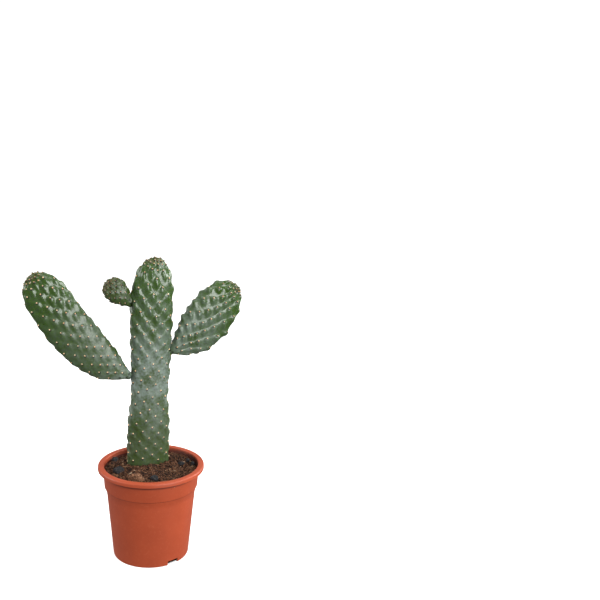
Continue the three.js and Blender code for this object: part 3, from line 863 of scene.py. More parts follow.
class Section:
    """Arc lengths of the pads' superellipse section, for every ratio of thickness to width."""

    def __init__(self, ratios: int = 80, angles: int = 721) -> None:
        """Measure the section's arcs.

        Args:
            ratios: How many ratios between a flat and a round section are measured.
            angles: How many points each section has.
        """
        self.ratios = np.linspace(0.1, 1.2, ratios)
        self.angles = np.linspace(0, TURN, angles)
        self.shares = np.linspace(0, 1, angles)
        x, y = self.outline(self.angles)
        self.girths = np.empty(ratios)
        self.table = np.empty((ratios, angles))
        for row, ratio in enumerate(self.ratios):
            arcs = np.hypot(np.diff(x), ratio * np.diff(y))
            reach = np.concatenate(([0], np.cumsum(arcs)))
            self.girths[row] = reach[-1]
            self.table[row] = np.interp(self.shares * reach[-1], reach, self.angles)

    @staticmethod
    def outline(angle: Array) -> tuple[Array, Array]:
        """The section's point at an angle, for a width and thickness of 1."""
        x, y = np.cos(angle), np.sin(angle)
        return tuple(np.sign(part) * np.abs(part) ** (2 / FLATNESS) for part in (x, y))

    def girth(self, width: Array, thickness: Array) -> Array:
        """The length round a section of that half width and half thickness."""
        return width * np.interp(thickness / width, self.ratios, self.girths)

    def point(self, width: Array, thickness: Array, share: Array) -> tuple[Array, Array]:
        """Find points round a section.

        Args:
            width: The section's half width.
            thickness: Its half thickness.
            share: How far round it to go, as a share, from its right edge over its front.

        Returns:
            The points' places across and out.
        """
        row = np.clip((thickness / width - self.ratios[0]) / (self.ratios[1] - self.ratios[0]), 0, None)
        low = np.minimum(row.astype(int), len(self.ratios) - 2)
        column = (share - np.floor(share)) * (len(self.shares) - 1)
        left = np.minimum(column.astype(int), len(self.shares) - 2)
        down = np.minimum(row - low, 1)
        along = column - left
        near = self.table[low, left] * (1 - along) + self.table[low, left + 1] * along
        far = self.table[low + 1, left] * (1 - along) + self.table[low + 1, left + 1] * along
        x, y = self.outline(near * (1 - down) + far * down)
        return width * x, thickness * y


SECTION = Section()


@dataclass(frozen=True)
class Spiral:
    """How a pad's areoles wind from its tip to its root.

    Each has "cell" of surface, "coarser" towards the root and "bend" coarser at both ends. "crowd"
    more stand close together near the tip and "neck" more at the root. The pattern winds by "twist"
    of a turn and is drawn out over the faces by "spread". By the right edge it stands "bow" and
    "slant" areoles higher, by the left edge "bow" higher and "slant" lower, and the slant is
    "slant_more" greater at the root than at the tip.
    """

    sense: int
    cell: float
    coarser: float
    crowd: float
    crowd_area: float
    phase: float
    bend: float = 0
    neck: float = 0
    neck_area: float = 130
    twist: float = 0
    spread: float = 0
    bow: float = 0
    slant: float = 0
    slant_more: float = 0


@dataclass(frozen=True)
class Tubercle:
    """The raised leaf base under an areole, in millimetres on a cell of common size.

    It is a swelling that fills the areole's cell. Its steep flank rises from a crease that runs
    "crease" of a cell beside the line to the areole that is 8 on, and takes "flank" of the cell by
    the areole. The swelling starts "ahead" of a cell before the areole, rises over "rise_over" of it
    and sinks over "sink_over", down to "tail" of its height and "narrow" of its flank. "rounding"
    rounds its back. A drop hangs from the areole towards the pad's root, turned aside by "lean"
    degrees. It is "width" wide to each side, less "taper" for each of the first "taper_until"
    millimetres down, with sides as steep as "drop_power" makes them. It starts and ends between the
    two distances of "drop_head" and of "drop_tail". "swelling" and "drop" are the two's strengths.
    """

    lean: float
    swelling: float = 0.85
    crease: float = 0.13
    flank: float = 0.4
    tail: float = 0.55
    narrow: float = 0.16
    ahead: float = 0.05
    rise_over: Pair = (0, 0.2)
    sink_over: Pair = (0.25, 1)
    rounding: float = 0.35
    drop: float = 0.1
    width: float = 3.9
    taper: float = 0.16
    taper_until: float = 12
    drop_power: float = 2.4
    drop_head: Pair = (-1.4, 1.6)
    drop_tail: Pair = (2.6, 12.5)

    def height(self, short: Array, long: Array) -> Array:
        """Height of the relief over one cell, at most 1 and about 0 between the tubercles.

        Args:
            short: How far towards the areole that is 5 on, 0 to 1.
            long: How far towards the areole that is 8 on, 0 to 1.

        Returns:
            The height.
        """
        lean = math.radians(self.lean)
        drops = np.zeros(len(short))
        for five in range(-1, 3):
            for eight in range(-1, 3):
                across = (short - five) * SHORT_VECTOR[0] + (long - eight) * LONG_VECTOR[0]
                below = (short - five) * SHORT_VECTOR[1] + (long - eight) * LONG_VECTOR[1]
                down = below * math.cos(lean) + across * math.sin(lean)
                aside = np.abs(across * math.cos(lean) - below * math.sin(lean))
                width = self.width - self.taper * np.clip(down, 0, self.taper_until)
                reach = ease(down, *self.drop_head) * (1 - ease(down, *self.drop_tail))
                drops = np.maximum(drops, reach * np.exp(-((aside / width) ** self.drop_power)))
        beside = np.mod(short + self.crease, 1)
        past = np.mod(long + self.ahead, 1)
        near = ease(past, *self.rise_over) * (1 - ease(past, *self.sink_over))
        size = self.tail + (1 - self.tail) * near
        flank = self.flank * (self.narrow + (1 - self.narrow) * near)
        rise = beside / flank
        fall = (1 - beside) / (1 - flank)
        swelling = size * (rise + fall - np.hypot(rise - fall, self.rounding)) / 2
        return np.clip(self.swelling * swelling + self.drop * drops, 0, 1)


@dataclass
class Pad:
    """One stem segment. Its frame runs along it from root to tip, across its flat face, and out.

    A station gives how far along it lies, its offset across, its half width and its half thickness.
    Past the last one the pad closes as a half ellipse. A place on the way down is 0 at the tip, 1 at
    the last station and 2 at the root's end. The relief stands "relief" high, rises over
    "relief_fade" from the root and dips between the tubercles by "dip". It is "edge_more" higher by
    the edges, and "worn" softer below the shares of the length in "worn_below", save by the edges.
    "uneven", "waves" and "pores" are how much it varies. "youth" is the skin's age at the root and
    the tip, and "wax" its bloom along the pad. "leaves" of the youngest areoles carry leaves, and
    "crowded" small areoles stand between them. "areole" is the largest areole's radius, and a painted
    shadow lies "areole_shadow_step" of that on its root side. "fineness" is how many faces a cell has each
    way.
    """

    name: str
    root: Point
    facing: float
    lean: float
    length: float
    tip_offset: float
    stations: tuple[tuple[float, float, float, float], ...]
    relief: float
    relief_fade: Pair
    spiral: Spiral
    youth: Pair = (0.55, 1.0)
    wax: tuple[Pair, ...] = ((0, 0.1), (1, 0.1))
    leaves: int = 14
    areole: float = 0.84
    areole_shadow_step: float = 1.1
    tubercle: Tubercle = Tubercle(lean=4, swelling=0.4, tail=0.75, narrow=0.25, drop=0.5, width=3.2)
    dip: float = 0.45
    edge_more: float = 0.15
    worn: float = 0.75
    worn_below: Pair = (0.36, 0.74)
    uneven: float = 0.45
    waves: float = 0.3
    pores: float = 0.05
    crowded: int = 14
    fineness: tuple[int, int] = (14, 16)
    out: Array = field(init=False)
    along: Array = field(init=False)
    across: Array = field(init=False)
    rows: Array = field(init=False)
    walk: dict[str, Array] = field(init=False)

    def __post_init__(self) -> None:
        """Work out the pad's frame and the walk down its surface."""
        facing = math.radians(self.facing)
        lean = math.radians(self.lean)
        right = np.array([math.cos(facing), math.sin(facing), 0])
        up = np.array([0, 0, 1])
        self.out = np.array([math.sin(facing), -math.cos(facing), 0])
        self.along = up * math.cos(lean) + right * math.sin(lean)
        self.across = right * math.cos(lean) - up * math.sin(lean)
        self.rows = np.array(self.stations, float)
        self.walk = self._walk_down()

    def section(self, place: Array) -> tuple[Array, Array, Array, Array]:
        """The section at a place on the way down.

        Args:
            place: The place on the way down.

        Returns:
            How far along it lies, its offset across, its half width and its half thickness.
        """
        last = self.rows[-1]
        angle = np.clip(place, 0, 1) * math.pi / 2
        share = np.cos(angle)
        closing = np.maximum(np.sin(angle), 1e-3)
        tip = (
            last[0] + (self.length - last[0]) * share,
            last[1] + (self.tip_offset - last[1]) * share,
            last[2] * closing,
            last[3] * closing,
        )
        along = last[0] + (self.rows[0, 0] - last[0]) * (place - 1)
        body = (along, *(smooth_through(self.rows, along, column) for column in (1, 2, 3)))
        return tuple(np.where(place < 1, near_tip, below) for near_tip, below in zip(tip, body))

    def _walk_down(self) -> dict[str, Array]:
        """Add up the surface passed and the areoles that it carries, from the tip to the root.

        Returns:
            The place, the areole count, the cell size, the share passed and the distance along.
        """
        place = np.linspace(0, 2, 1201)
        along, _, width, thickness = self.section(place)
        girth = SECTION.girth(width, thickness)
        swell = (np.abs(np.diff(width)) + np.abs(np.diff(thickness))) / 2
        run = np.hypot(np.diff(along), swell)
        area = np.concatenate(([0], np.cumsum(run * (girth[1:] + girth[:-1]) / 2)))
        share = area / area[-1]
        spiral = self.spiral
        uneven = spiral.coarser * (share - 1) + spiral.bend * (share - 1) * (share - 0.5)
        near_tip = spiral.crowd * (1 - np.exp(-area / spiral.crowd_area))
        near_root = spiral.neck * np.exp((area - area[-1]) / spiral.neck_area)
        index = SPIRAL_START + area / spiral.cell * (1 + uneven) + near_tip + near_root
        cell = np.gradient(area, index)
        return {"place": place, "index": index, "cell": cell, "passed": share - 0.5, "along": along}

    def at(self, index: Array, *columns: str) -> list[Array]:
        """What the walk has reached when the areole count has reached a value."""
        return [np.interp(index, self.walk["index"], self.walk[column]) for column in columns]

    def skin(self, place: Array, share: Array) -> Array:
        """Points on the smooth skin, without its relief.

        Args:
            place: The place on the way down.
            share: How far round the section, as a share.

        Returns:
            The points.
        """
        along, offset, width, thickness = self.section(place)
        x, y = SECTION.point(width, thickness, share)
        return (
            np.array(self.root)
            + along[:, None] * self.along
            + (offset + x)[:, None] * self.across
            + y[:, None] * self.out
        )

    def normal(self, place: Array, share: Array) -> Array:
        """The smooth skin's outward normals.

        Args:
            place: The place on the way down.
            share: How far round the section, as a share.

        Returns:
            The normals.
        """
        small = 0.004
        below = self.skin(np.minimum(place + small, 2), share)
        down = below - self.skin(np.maximum(place - small, small / 2), share)
        around = self.skin(place, share + small) - self.skin(place, share - small)
        normal = np.cross(around, down)
        return normal / np.linalg.norm(normal, axis=1)[:, None]

    def strength(self, along: Array, cell: Array) -> Array:
        """How high the relief stands at a place, in millimetres."""
        scale = np.clip(np.sqrt(cell / self.spiral.cell), 0.42, 1.15)
        return self.relief * ease(along, *self.relief_fade) * scale

    def spots(self, n: Array, short: Array, long: Array) -> dict[str, Array]:
        """Find where points in the areoles' cells lie.

        Args:
            n: The number of each cell's first areole.
            short: How far to go towards the areole that is 5 on, 0 to 1.
            long: How far to go towards the areole that is 8 on, 0 to 1.

        Returns:
            Their place, share, cell size and distance along the pad.
        """
        spiral = self.spiral
        index = n + SHORT_STEP * short + LONG_STEP * long
        turn = spiral.phase + spiral.sense * (n * GOLDEN + short * SHORT_TURN + long * LONG_TURN)
        to_root = (self.walk["index"][-1] - index) / BORDER
        settled = np.clip(np.minimum(index / SPIRAL_SETTLED, to_root), 0, 1)
        here = index
        for _ in range(3):
            (passed,) = self.at(here, "passed")
            around = TURN * (turn + spiral.twist * passed)
            tilt = (spiral.slant + spiral.slant_more * passed) * np.cos(around)
            here = index - settled * (spiral.bow * np.cos(around) ** 2 + tilt)
        place, cell, along, passed = self.at(here, "place", "cell", "along", "passed")
        around = TURN * (turn + spiral.twist * passed)
        share = (around - 0.5 * spiral.spread * np.sin(2 * around)) / TURN
        return {"place": place, "share": share, "cell": cell, "along": along}

    def lift(self, base: Array, spots: dict[str, Array], short: Array, long: Array) -> tuple[Array, Array]:
        """How far the relief lifts the skin.

        Args:
            base: Points on the smooth skin.
            spots: Where they lie.
            short: How far towards the areole that is 5 on, 0 to 1.
            long: How far towards the areole that is 8 on, 0 to 1.

        Returns:
            The lift in millimetres, and the relief's height as a share.
        """
        edge = np.cos(TURN * spots["share"]) ** 4
        worn = self.worn * (1 - ease(spots["along"] / self.length, *self.worn_below)) * (1 - 0.95 * edge)
        crest = self.tubercle.height(short, long) ** (1 + worn)
        dip = self.dip * (1 - worn)
        strength = self.strength(spots["along"], spots["cell"]) * (1 - 0.7 * worn)
        lift = strength * (1 + self.edge_more * edge) * ((1 + dip) * crest - dip)
        lift = lift * (1 + self.uneven * grain(base, size=14, seed=5, octaves=2))
        lift = lift + self.waves * (1 - 0.6 * worn) * grain(base, size=9, seed=9, octaves=3)
        return lift + self.pores * grain(base, size=1.6, seed=4, octaves=2), crest

    def areoles(self, between: bool = False) -> dict[str, Array]:
        """Places, normals and sizes of all areoles, numbered from the tip.

        Args:
            between: Whether the small ones that crowd between the others at the tip come too.

        Returns:
            The areoles' numbers, points, normals, sizes and where they lie.
        """
        n = np.arange(int(self.walk["index"][-1]) + 1)
        middle = np.zeros(len(n))
        if between:
            n = np.concatenate((n, np.arange(self.crowded)))
            middle = np.concatenate((middle, np.full(self.crowded, 0.5)))
        spots = self.spots(n, middle, middle)
        normal = self.normal(spots["place"], spots["share"])
        base = self.skin(spots["place"], spots["share"])
        point = base + normal * self.lift(base, spots, middle, middle)[0][:, None]
        size = np.clip(0.15 * np.sqrt(spots["cell"]), 0.4, self.areole)
        return {"number": n + BORDER * middle, "point": point, "normal": normal, "size": size, **spots}

    def mesh(self, material: Material) -> Object:
        """Build the skin with its tubercles, cell by cell along the areoles' spiral.

        Args:
            material: The skin's material.

        Returns:
            The skin, one closed mesh.
        """
        cells = int(self.walk["index"][-1]) - BORDER
        n, i, j = self._grid(cells + BORDER)
        short, long = (step / fine for step, fine in zip((i, j), self.fineness))
        spots = self.spots(n, short, long)
        normal = self.normal(spots["place"], spots["share"])
        base = self.skin(spots["place"], spots["share"])
        height, crest = self.lift(base, spots, short, long)
        points = base + normal * height[:, None]
        numbers = self._numbers(points, n, crest, spots["along"])

        n, i, j = self._grid(cells)
        corners = ((0, 0), (1, 0), (1, 1), (0, 1))
        quads = np.stack([self._vertex(n, i + right, j + below) for right, below in corners], 1)
        if self.spiral.sense > 0:
            quads = quads[:, ::-1]
        used = np.zeros(len(points) + 2, bool)
        used[np.ravel(quads)] = True
        used[-2:] = True
        faces = quads.tolist()
        for place, start in ((0.0, 0), (2.0, cells)):
            along, offset, _, _ = self.section(np.array([place]))
            middle = np.array(self.root) + along[:, None] * self.along + offset[:, None] * self.across
            points = np.vstack((points, middle))
            centre = len(points) - 1
            loop = self._border(start)
            if (start == 0) == (self.spiral.sense < 0):
                loop = loop[::-1]
            faces += [[centre, corner, loop[(k + 1) % len(loop)]] for k, corner in enumerate(loop)]

        renumber = np.cumsum(used) - 1
        faces = [renumber[face] for face in faces]
        for key, values in numbers.items():
            at_ends = np.full(2, FAR if key == "near" else 0.0)
            numbers[key] = np.concatenate((values, at_ends))[used]
        return make_object(self.name + "_skin", points[used], faces, material, numbers)

    def _grid(self, cells: int) -> tuple[Array, ...]:
        """Number the points of the first cells: the cell, and the steps along its two sides."""
        grid = np.meshgrid(*(np.arange(count) for count in (cells, *self.fineness)), indexing="ij")
        return tuple(part.ravel() for part in grid)

    def _vertex(self, n: Array | int, i: Array | int, j: Array | int) -> Array:
        """The number of a point, stepping over to the next cell past an edge.

        Args:
            n: Its cell.
            i: Steps towards the areole that is 5 on.
            j: Steps towards the areole that is 8 on.

        Returns:
            Its number among the mesh's points.
        """
        fine_short, fine_long = self.fineness
        cell = n + SHORT_STEP * (i // fine_short) + LONG_STEP * (j // fine_long)
        return (cell * fine_short + i % fine_short) * fine_long + j % fine_long

    def _numbers(self, points: Array, n: Array, crest: Array, along: Array) -> dict[str, Array]:
        """Work out what the skin's material reads at each point.

        Args:
            points: The points.
            n: The cell of each.
            crest: The relief's height at each, as a share.
            along: How far along the pad each lies.

        Returns:
            The numbers, by name.
        """
        areoles = self.areoles()
        # Middles of the painted shadows, "pits", on each areole's root side; "near" is each point's distance
        # from the closest.
        down = -self.along - areoles["normal"] * (areoles["normal"] @ -self.along)[:, None]
        pits = areoles["point"] + down * (self.areole_shadow_step * areoles["size"])[:, None]
        near = np.full(len(n), FAR)
        for step in (0, SHORT_STEP, LONG_STEP, BORDER):
            other = pits[np.minimum(n + step, len(pits) - 1)]
            near = np.minimum(near, np.linalg.norm(points - other, axis=1))
        up = along / self.length
        return {
            "crest": crest,
            "near": near,
            "youth": self.age(up),
            "wax": np.interp(up, *np.array(self.wax).T),
            "tip": ease(along, self.length - 9, self.length - 2),
        }

    def age(self, up: Array) -> Array:
        """How young the skin is, from the share of the pad's length; past 1 it is a bud's."""
        return self.youth[0] + (self.youth[1] - self.youth[0]) * ease(up, 0.35, 0.95)

    def _border(self, start: int) -> list[int]:
        """Follow the edge of the cells, 5 areoles on or 8 back, until it meets itself.

        Args:
            start: The areole to start at.

        Returns:
            The numbers of the edge's points.
        """
        fine_short, fine_long = self.fineness
        loop = []
        k = 0
        while True:
            if k < LONG_STEP:
                loop += [self._vertex(start + k, i, 0) for i in range(fine_short)]
                k += SHORT_STEP
            else:
                loop.append(self._vertex(start + k, 0, 0))
                loop += [self._vertex(start + k - LONG_STEP, 0, j) for j in range(fine_long - 1, 0, -1)]
                k -= LONG_STEP
            if k == 0:
                return loop


MAIN_PAD = Pad(
    name="main_pad",
    root=(-3.9, 16.7, 99),
    facing=15,
    lean=0,
    length=240.2,
    tip_offset=7.4,
    stations=(
        (-18, 0, 15, 7), (-4, 0, 23.4, 11.2), (0, 0, 24.1, 11.9), (30, 0.5, 24.2, 12),
        (50, 0.8, 24, 12.1), (66, 1.3, 22.6, 11.8), (80, 1.7, 20.9, 11.5), (105, 2.5, 22.1, 11.5),
        (135, 3.2, 22.6, 11.5), (165, 3.6, 23.8, 11.5), (196, 4.4, 23.6, 11.5),
    ),
    relief=1.5,
    relief_fade=(2, 12),
    spiral=Spiral(
        sense=-1, cell=126.3, coarser=0.165, bend=-0.02, crowd=14.13, crowd_area=360, phase=0.114,
        twist=-0.121, spread=0.018, bow=3.92, slant=-0.35, slant_more=-0.8,
    ),
    youth=(0.1, 1.0),
    wax=((0, 0.1), (0.15, 0.25), (0.3, 0.75), (0.42, 1.3), (0.52, 1.1), (0.64, 0.5), (0.85, 0.2), (1, 0.1)),
    leaves=26,
)
LEFT_PAD = Pad(
    name="left_pad",
    root=(-25, 11, 212),
    facing=12,
    lean=-40,
    length=152,
    tip_offset=-10.5,
    stations=(
        (-9, -3.6, 3.2, 3), (-4, -5.6, 5.3, 4.6), (0, -8, 7.8, 6), (5, -10.4, 10.8, 7),
        (15, -14, 16.3, 8), (25, -15.5, 19.9, 8.7), (45, -17.5, 23.1, 9.3), (60, -18, 24.7, 9.5),
        (90, -17, 25, 9.5), (115, -13.8, 24.4, 9),
    ),
    relief=1.4,
    relief_fade=(2, 16),
    spiral=Spiral(
        sense=-1, cell=110, coarser=0.256, bend=0.6, crowd=13.3, crowd_area=240, neck=12, phase=0.303,
        twist=-0.121, spread=-0.138, bow=2.1, slant=2.1, slant_more=7.9,
    ),
    youth=(0.35, 1.0),
    wax=((0, 1.3), (0.08, 0.9), (0.16, 0.4), (0.5, 0.25), (0.75, 0.1), (1, 0.05)),
    leaves=22,
    tubercle=Tubercle(lean=-22, swelling=0.12, drop=0.52, drop_head=(-2, 1.4)),
    worn=0.6,
)
RIGHT_PAD = Pad(
    name="right_pad",
    root=(20, 23, 231),
    facing=18,
    lean=50,
    length=110,
    tip_offset=-2,
    stations=(
        (-9, 1, 2.6, 2.6), (0, 1.8, 3.5, 3.6), (3, 2.9, 5.6, 4.8), (6, 4.2, 8.1, 6), (10, 5.2, 10.9, 7),
        (20, 6.3, 17.3, 8), (30, 6.7, 23.8, 8.7), (40, 5.6, 26.7, 9), (50, 5.1, 28.6, 9),
        (62, 3.3, 29.3, 9),
    ),
    relief=1.5,
    relief_fade=(2, 16),
    spiral=Spiral(
        sense=1, cell=119, coarser=0.208, bend=1, crowd=12.22, crowd_area=220, neck=12, phase=0.635,
        twist=-0.026, spread=-0.267, bow=2.2, slant=3.66, slant_more=-11.2,
    ),
    youth=(0.45, 1.0),
    wax=((0, 0.5), (0.2, 0.7), (0.6, 0.4), (0.85, 0.15), (1, 0.05)),
    leaves=26,
    tubercle=Tubercle(lean=-34, width=3.2, swelling=0.25, drop=0.9, drop_tail=(2, 9.5)),
    worn=0,
)
BUD_PAD = Pad(
    name="bud_pad",
    root=(-24.5, 12, 293),
    facing=12,
    lean=-58,
    length=33,
    tip_offset=1,
    stations=(
        (-6, -2.5, 5, 3.4), (0, -2.5, 6.5, 4.5), (3, -2, 8.6, 5.3), (6, -1.2, 9.8, 6),
        (10, -0.6, 11.6, 6.5), (14, 0.2, 13.2, 6.5), (17, 0.7, 13.4, 6.5),
    ),
    relief=0.9,
    relief_fade=(0, 5),
    spiral=Spiral(sense=-1, cell=38, coarser=0.1, crowd=6, crowd_area=60, neck=10, neck_area=60, phase=0.2),
    youth=(1.6, 2.0),
    leaves=40,
    areole=0.55,
    tubercle=Tubercle(lean=0, swelling=0.4, drop=0.6),
    fineness=(10, 12),
)


def ball(rings: int, segments: int) -> tuple[Array, Faces]:
    """A unit ball of rings and segments.

    Args:
        rings: Bands from pole to pole.
        segments: Faces round each band.

    Returns:
        Its points and faces.
    """
    points = [(0.0, 0.0, 1.0)]
    for ring in range(1, rings):
        angle = math.pi * ring / rings
        for turn in (TURN * step / segments for step in range(segments)):
            level = math.sin(angle)
            points.append((level * math.cos(turn), level * math.sin(turn), math.cos(angle)))
    points.append((0.0, 0.0, -1.0))
    return np.array(points), ring_faces(rings - 1, segments)


def strand(path: Array, radii: Sequence[float], sides: int = 4, flat: float = 1.0) -> tuple[Array, Faces]:
    """A closed strand along a path.

    Args:
        path: The points that it follows, in millimetres.
        radii: Its radius at each point.
        sides: How many sides it has.
        flat: Its height as a share of its width.

    Returns:
        Its points and faces.
    """
    path = np.asarray(path, float)
    ahead = np.gradient(path, axis=0)
    ahead /= np.linalg.norm(ahead, axis=1)[:, None]
    side = np.cross(np.array([0, 0, 1.0]), ahead)
    side /= np.maximum(np.linalg.norm(side, axis=1), 1e-6)[:, None]
    up = np.cross(ahead, side)
    turns = np.arange(sides) * TURN / sides
    points = []
    for middle, radius, across, above in zip(path, radii, side, up):
        points += [middle + radius * (math.cos(t) * across + flat * math.sin(t) * above) for t in turns]
    faces = [list(range(sides))[::-1]]
    for step in range(len(path) - 1):
        for k in range(sides):
            a = step * sides + k
            b = step * sides + (k + 1) % sides
            faces.append([a, b, b + sides, a + sides])
    faces.append([(len(path) - 1) * sides + k for k in range(sides)])
    return np.array(points), faces


@dataclass
class Cactus:
    """The four pads with their areoles, glochids and young leaves."""

    pads: tuple[Pad, ...] = (MAIN_PAD, LEFT_PAD, RIGHT_PAD, BUD_PAD)
    cushion_height: float = 0.62
    cushion_sunk: float = 0.12
    glochids: int = 12
    glochid_length: float = 1.5
    glochid_width: float = 0.05
    leaf_length: float = 2.4
    leaf_width: float = 1
    leaf_step: float = 1.25

    def build(self) -> None:
        """Build every pad and what grows on it."""
        skin = PadSkin().material()
        for pad in self.pads:
            settle(pad.mesh(skin), "skin", pad.name)
        planting = Planting(Ground.POINTS)
        felt = Felt().material()
        leaf = YoungLeaf().material()
        for pad in self.pads:
            areoles = pad.areoles(between=True)
            shown = areoles["along"] > pad.relief_fade[0] + 1
            standing = (areoles, shown, areoles["point"], areoles["normal"])
            cushions = planting.plant(
                f"{pad.name}_areoles", self._ground(*standing), [self._cushion()],
                Amount=1.0, Tilt=0.08, Smallest=0.85, Largest=1.12, Seed=11, Finish=felt,
            )
            settle(cushions, "skin")
            bristles = planting.plant(
                f"{pad.name}_glochids", self._ground(*standing), [self._glochid()],
                Amount=float(self.glochids), Tilt=0.75, Smallest=0.55, Largest=1.1, Seed=23, Finish=felt,
            )
            settle(bristles, "skin")
            leaves = planting.plant(
                f"{pad.name}_leaves", self._leaf_ground(pad, areoles), [self._leaf()],
                Amount=1.0, Tilt=0.12, Smallest=0.75, Largest=1.15, Seed=31, Finish=leaf,
            )
            settle(leaves, "skin")

    @staticmethod
    def _ground(areoles: dict[str, Array], shown: Array, points: Array, normals: Array) -> Object:
        """Bare points that carry what is planted on them.

        Args:
            areoles: The pad's areoles.
            shown: Which of them carry something.
            points: A point for each areole.
            normals: Which way the thing stands at each.

        Returns:
            The points that carry something.
        """
        fresh = np.clip(1 - areoles["cell"][shown] / 60, 0, 1)
        numbers = {"normal": normals[shown], "size": areoles["size"][shown], "fresh": fresh}
        return make_object("ground", points[shown], [], None, numbers)

    def _cushion(self) -> Object:
        """One areole's felted cushion, of radius 1."""
        points, faces = ball(4, 8)
        return make_object("cushion", points * (1, 1, self.cushion_height) + (0, 0, self.cushion_sunk), faces)

    def _glochid(self) -> Object:
        """One barbed hair, three-sided and pointed.

        Returns:
            The hair, standing on the origin.
        """
        width = self.glochid_width
        corners = [(width * math.cos(t), width * math.sin(t), 0.0) for t in (0, TURN / 3, 2 * TURN / 3)]
        points = np.array([*corners, (0, 0, self.glochid_length)])
        return make_object("glochid", points, [[0, 1, 3], [1, 2, 3], [2, 0, 3], [2, 1, 0]])

    def _leaf(self) -> Object:
        """One small fleshy leaf, a curved cone.

        Returns:
            The leaf, standing on the origin.
        """
        share = np.array([0, 0.2, 0.45, 0.7, 0.9, 1])
        radii = self.leaf_width * np.array([0.55, 0.9, 1.0, 0.75, 0.4, 0.06])
        path = np.stack((0.25 * share ** 2, 0 * share, self.leaf_length * share), 1)
        points, faces = strand(path + (0, 0, -0.4), radii, 6)
        tip = np.clip(points[:, 2] / self.leaf_length, 0, 1)
        return make_object("leaf", points, faces, None, {"tip": tip})

    def _leaf_ground(self, pad: Pad, areoles: dict[str, Array]) -> Object:
        """Find where leaves stand: on the youngest areoles' root side, aimed at the pad's tip.

        Args:
            pad: The pad.
            areoles: Its areoles.

        Returns:
            The leaves' points.
        """
        n = areoles["number"]
        young = (n < pad.leaves) & (n > 0)
        down = -pad.along
        down = down - areoles["normal"] * (areoles["normal"] @ down)[:, None]
        down /= np.maximum(np.linalg.norm(down, axis=1), 1e-6)[:, None]
        size = np.clip(areoles["size"] / 0.7, 0.3, 1) * (1 - 0.55 * n / pad.leaves)
        points = areoles["point"] + down * (self.leaf_step * size)[:, None]
        aim = areoles["normal"] * 1.1 - down * 0.7
        return self._ground({**areoles, "size": size}, young, points, aim)


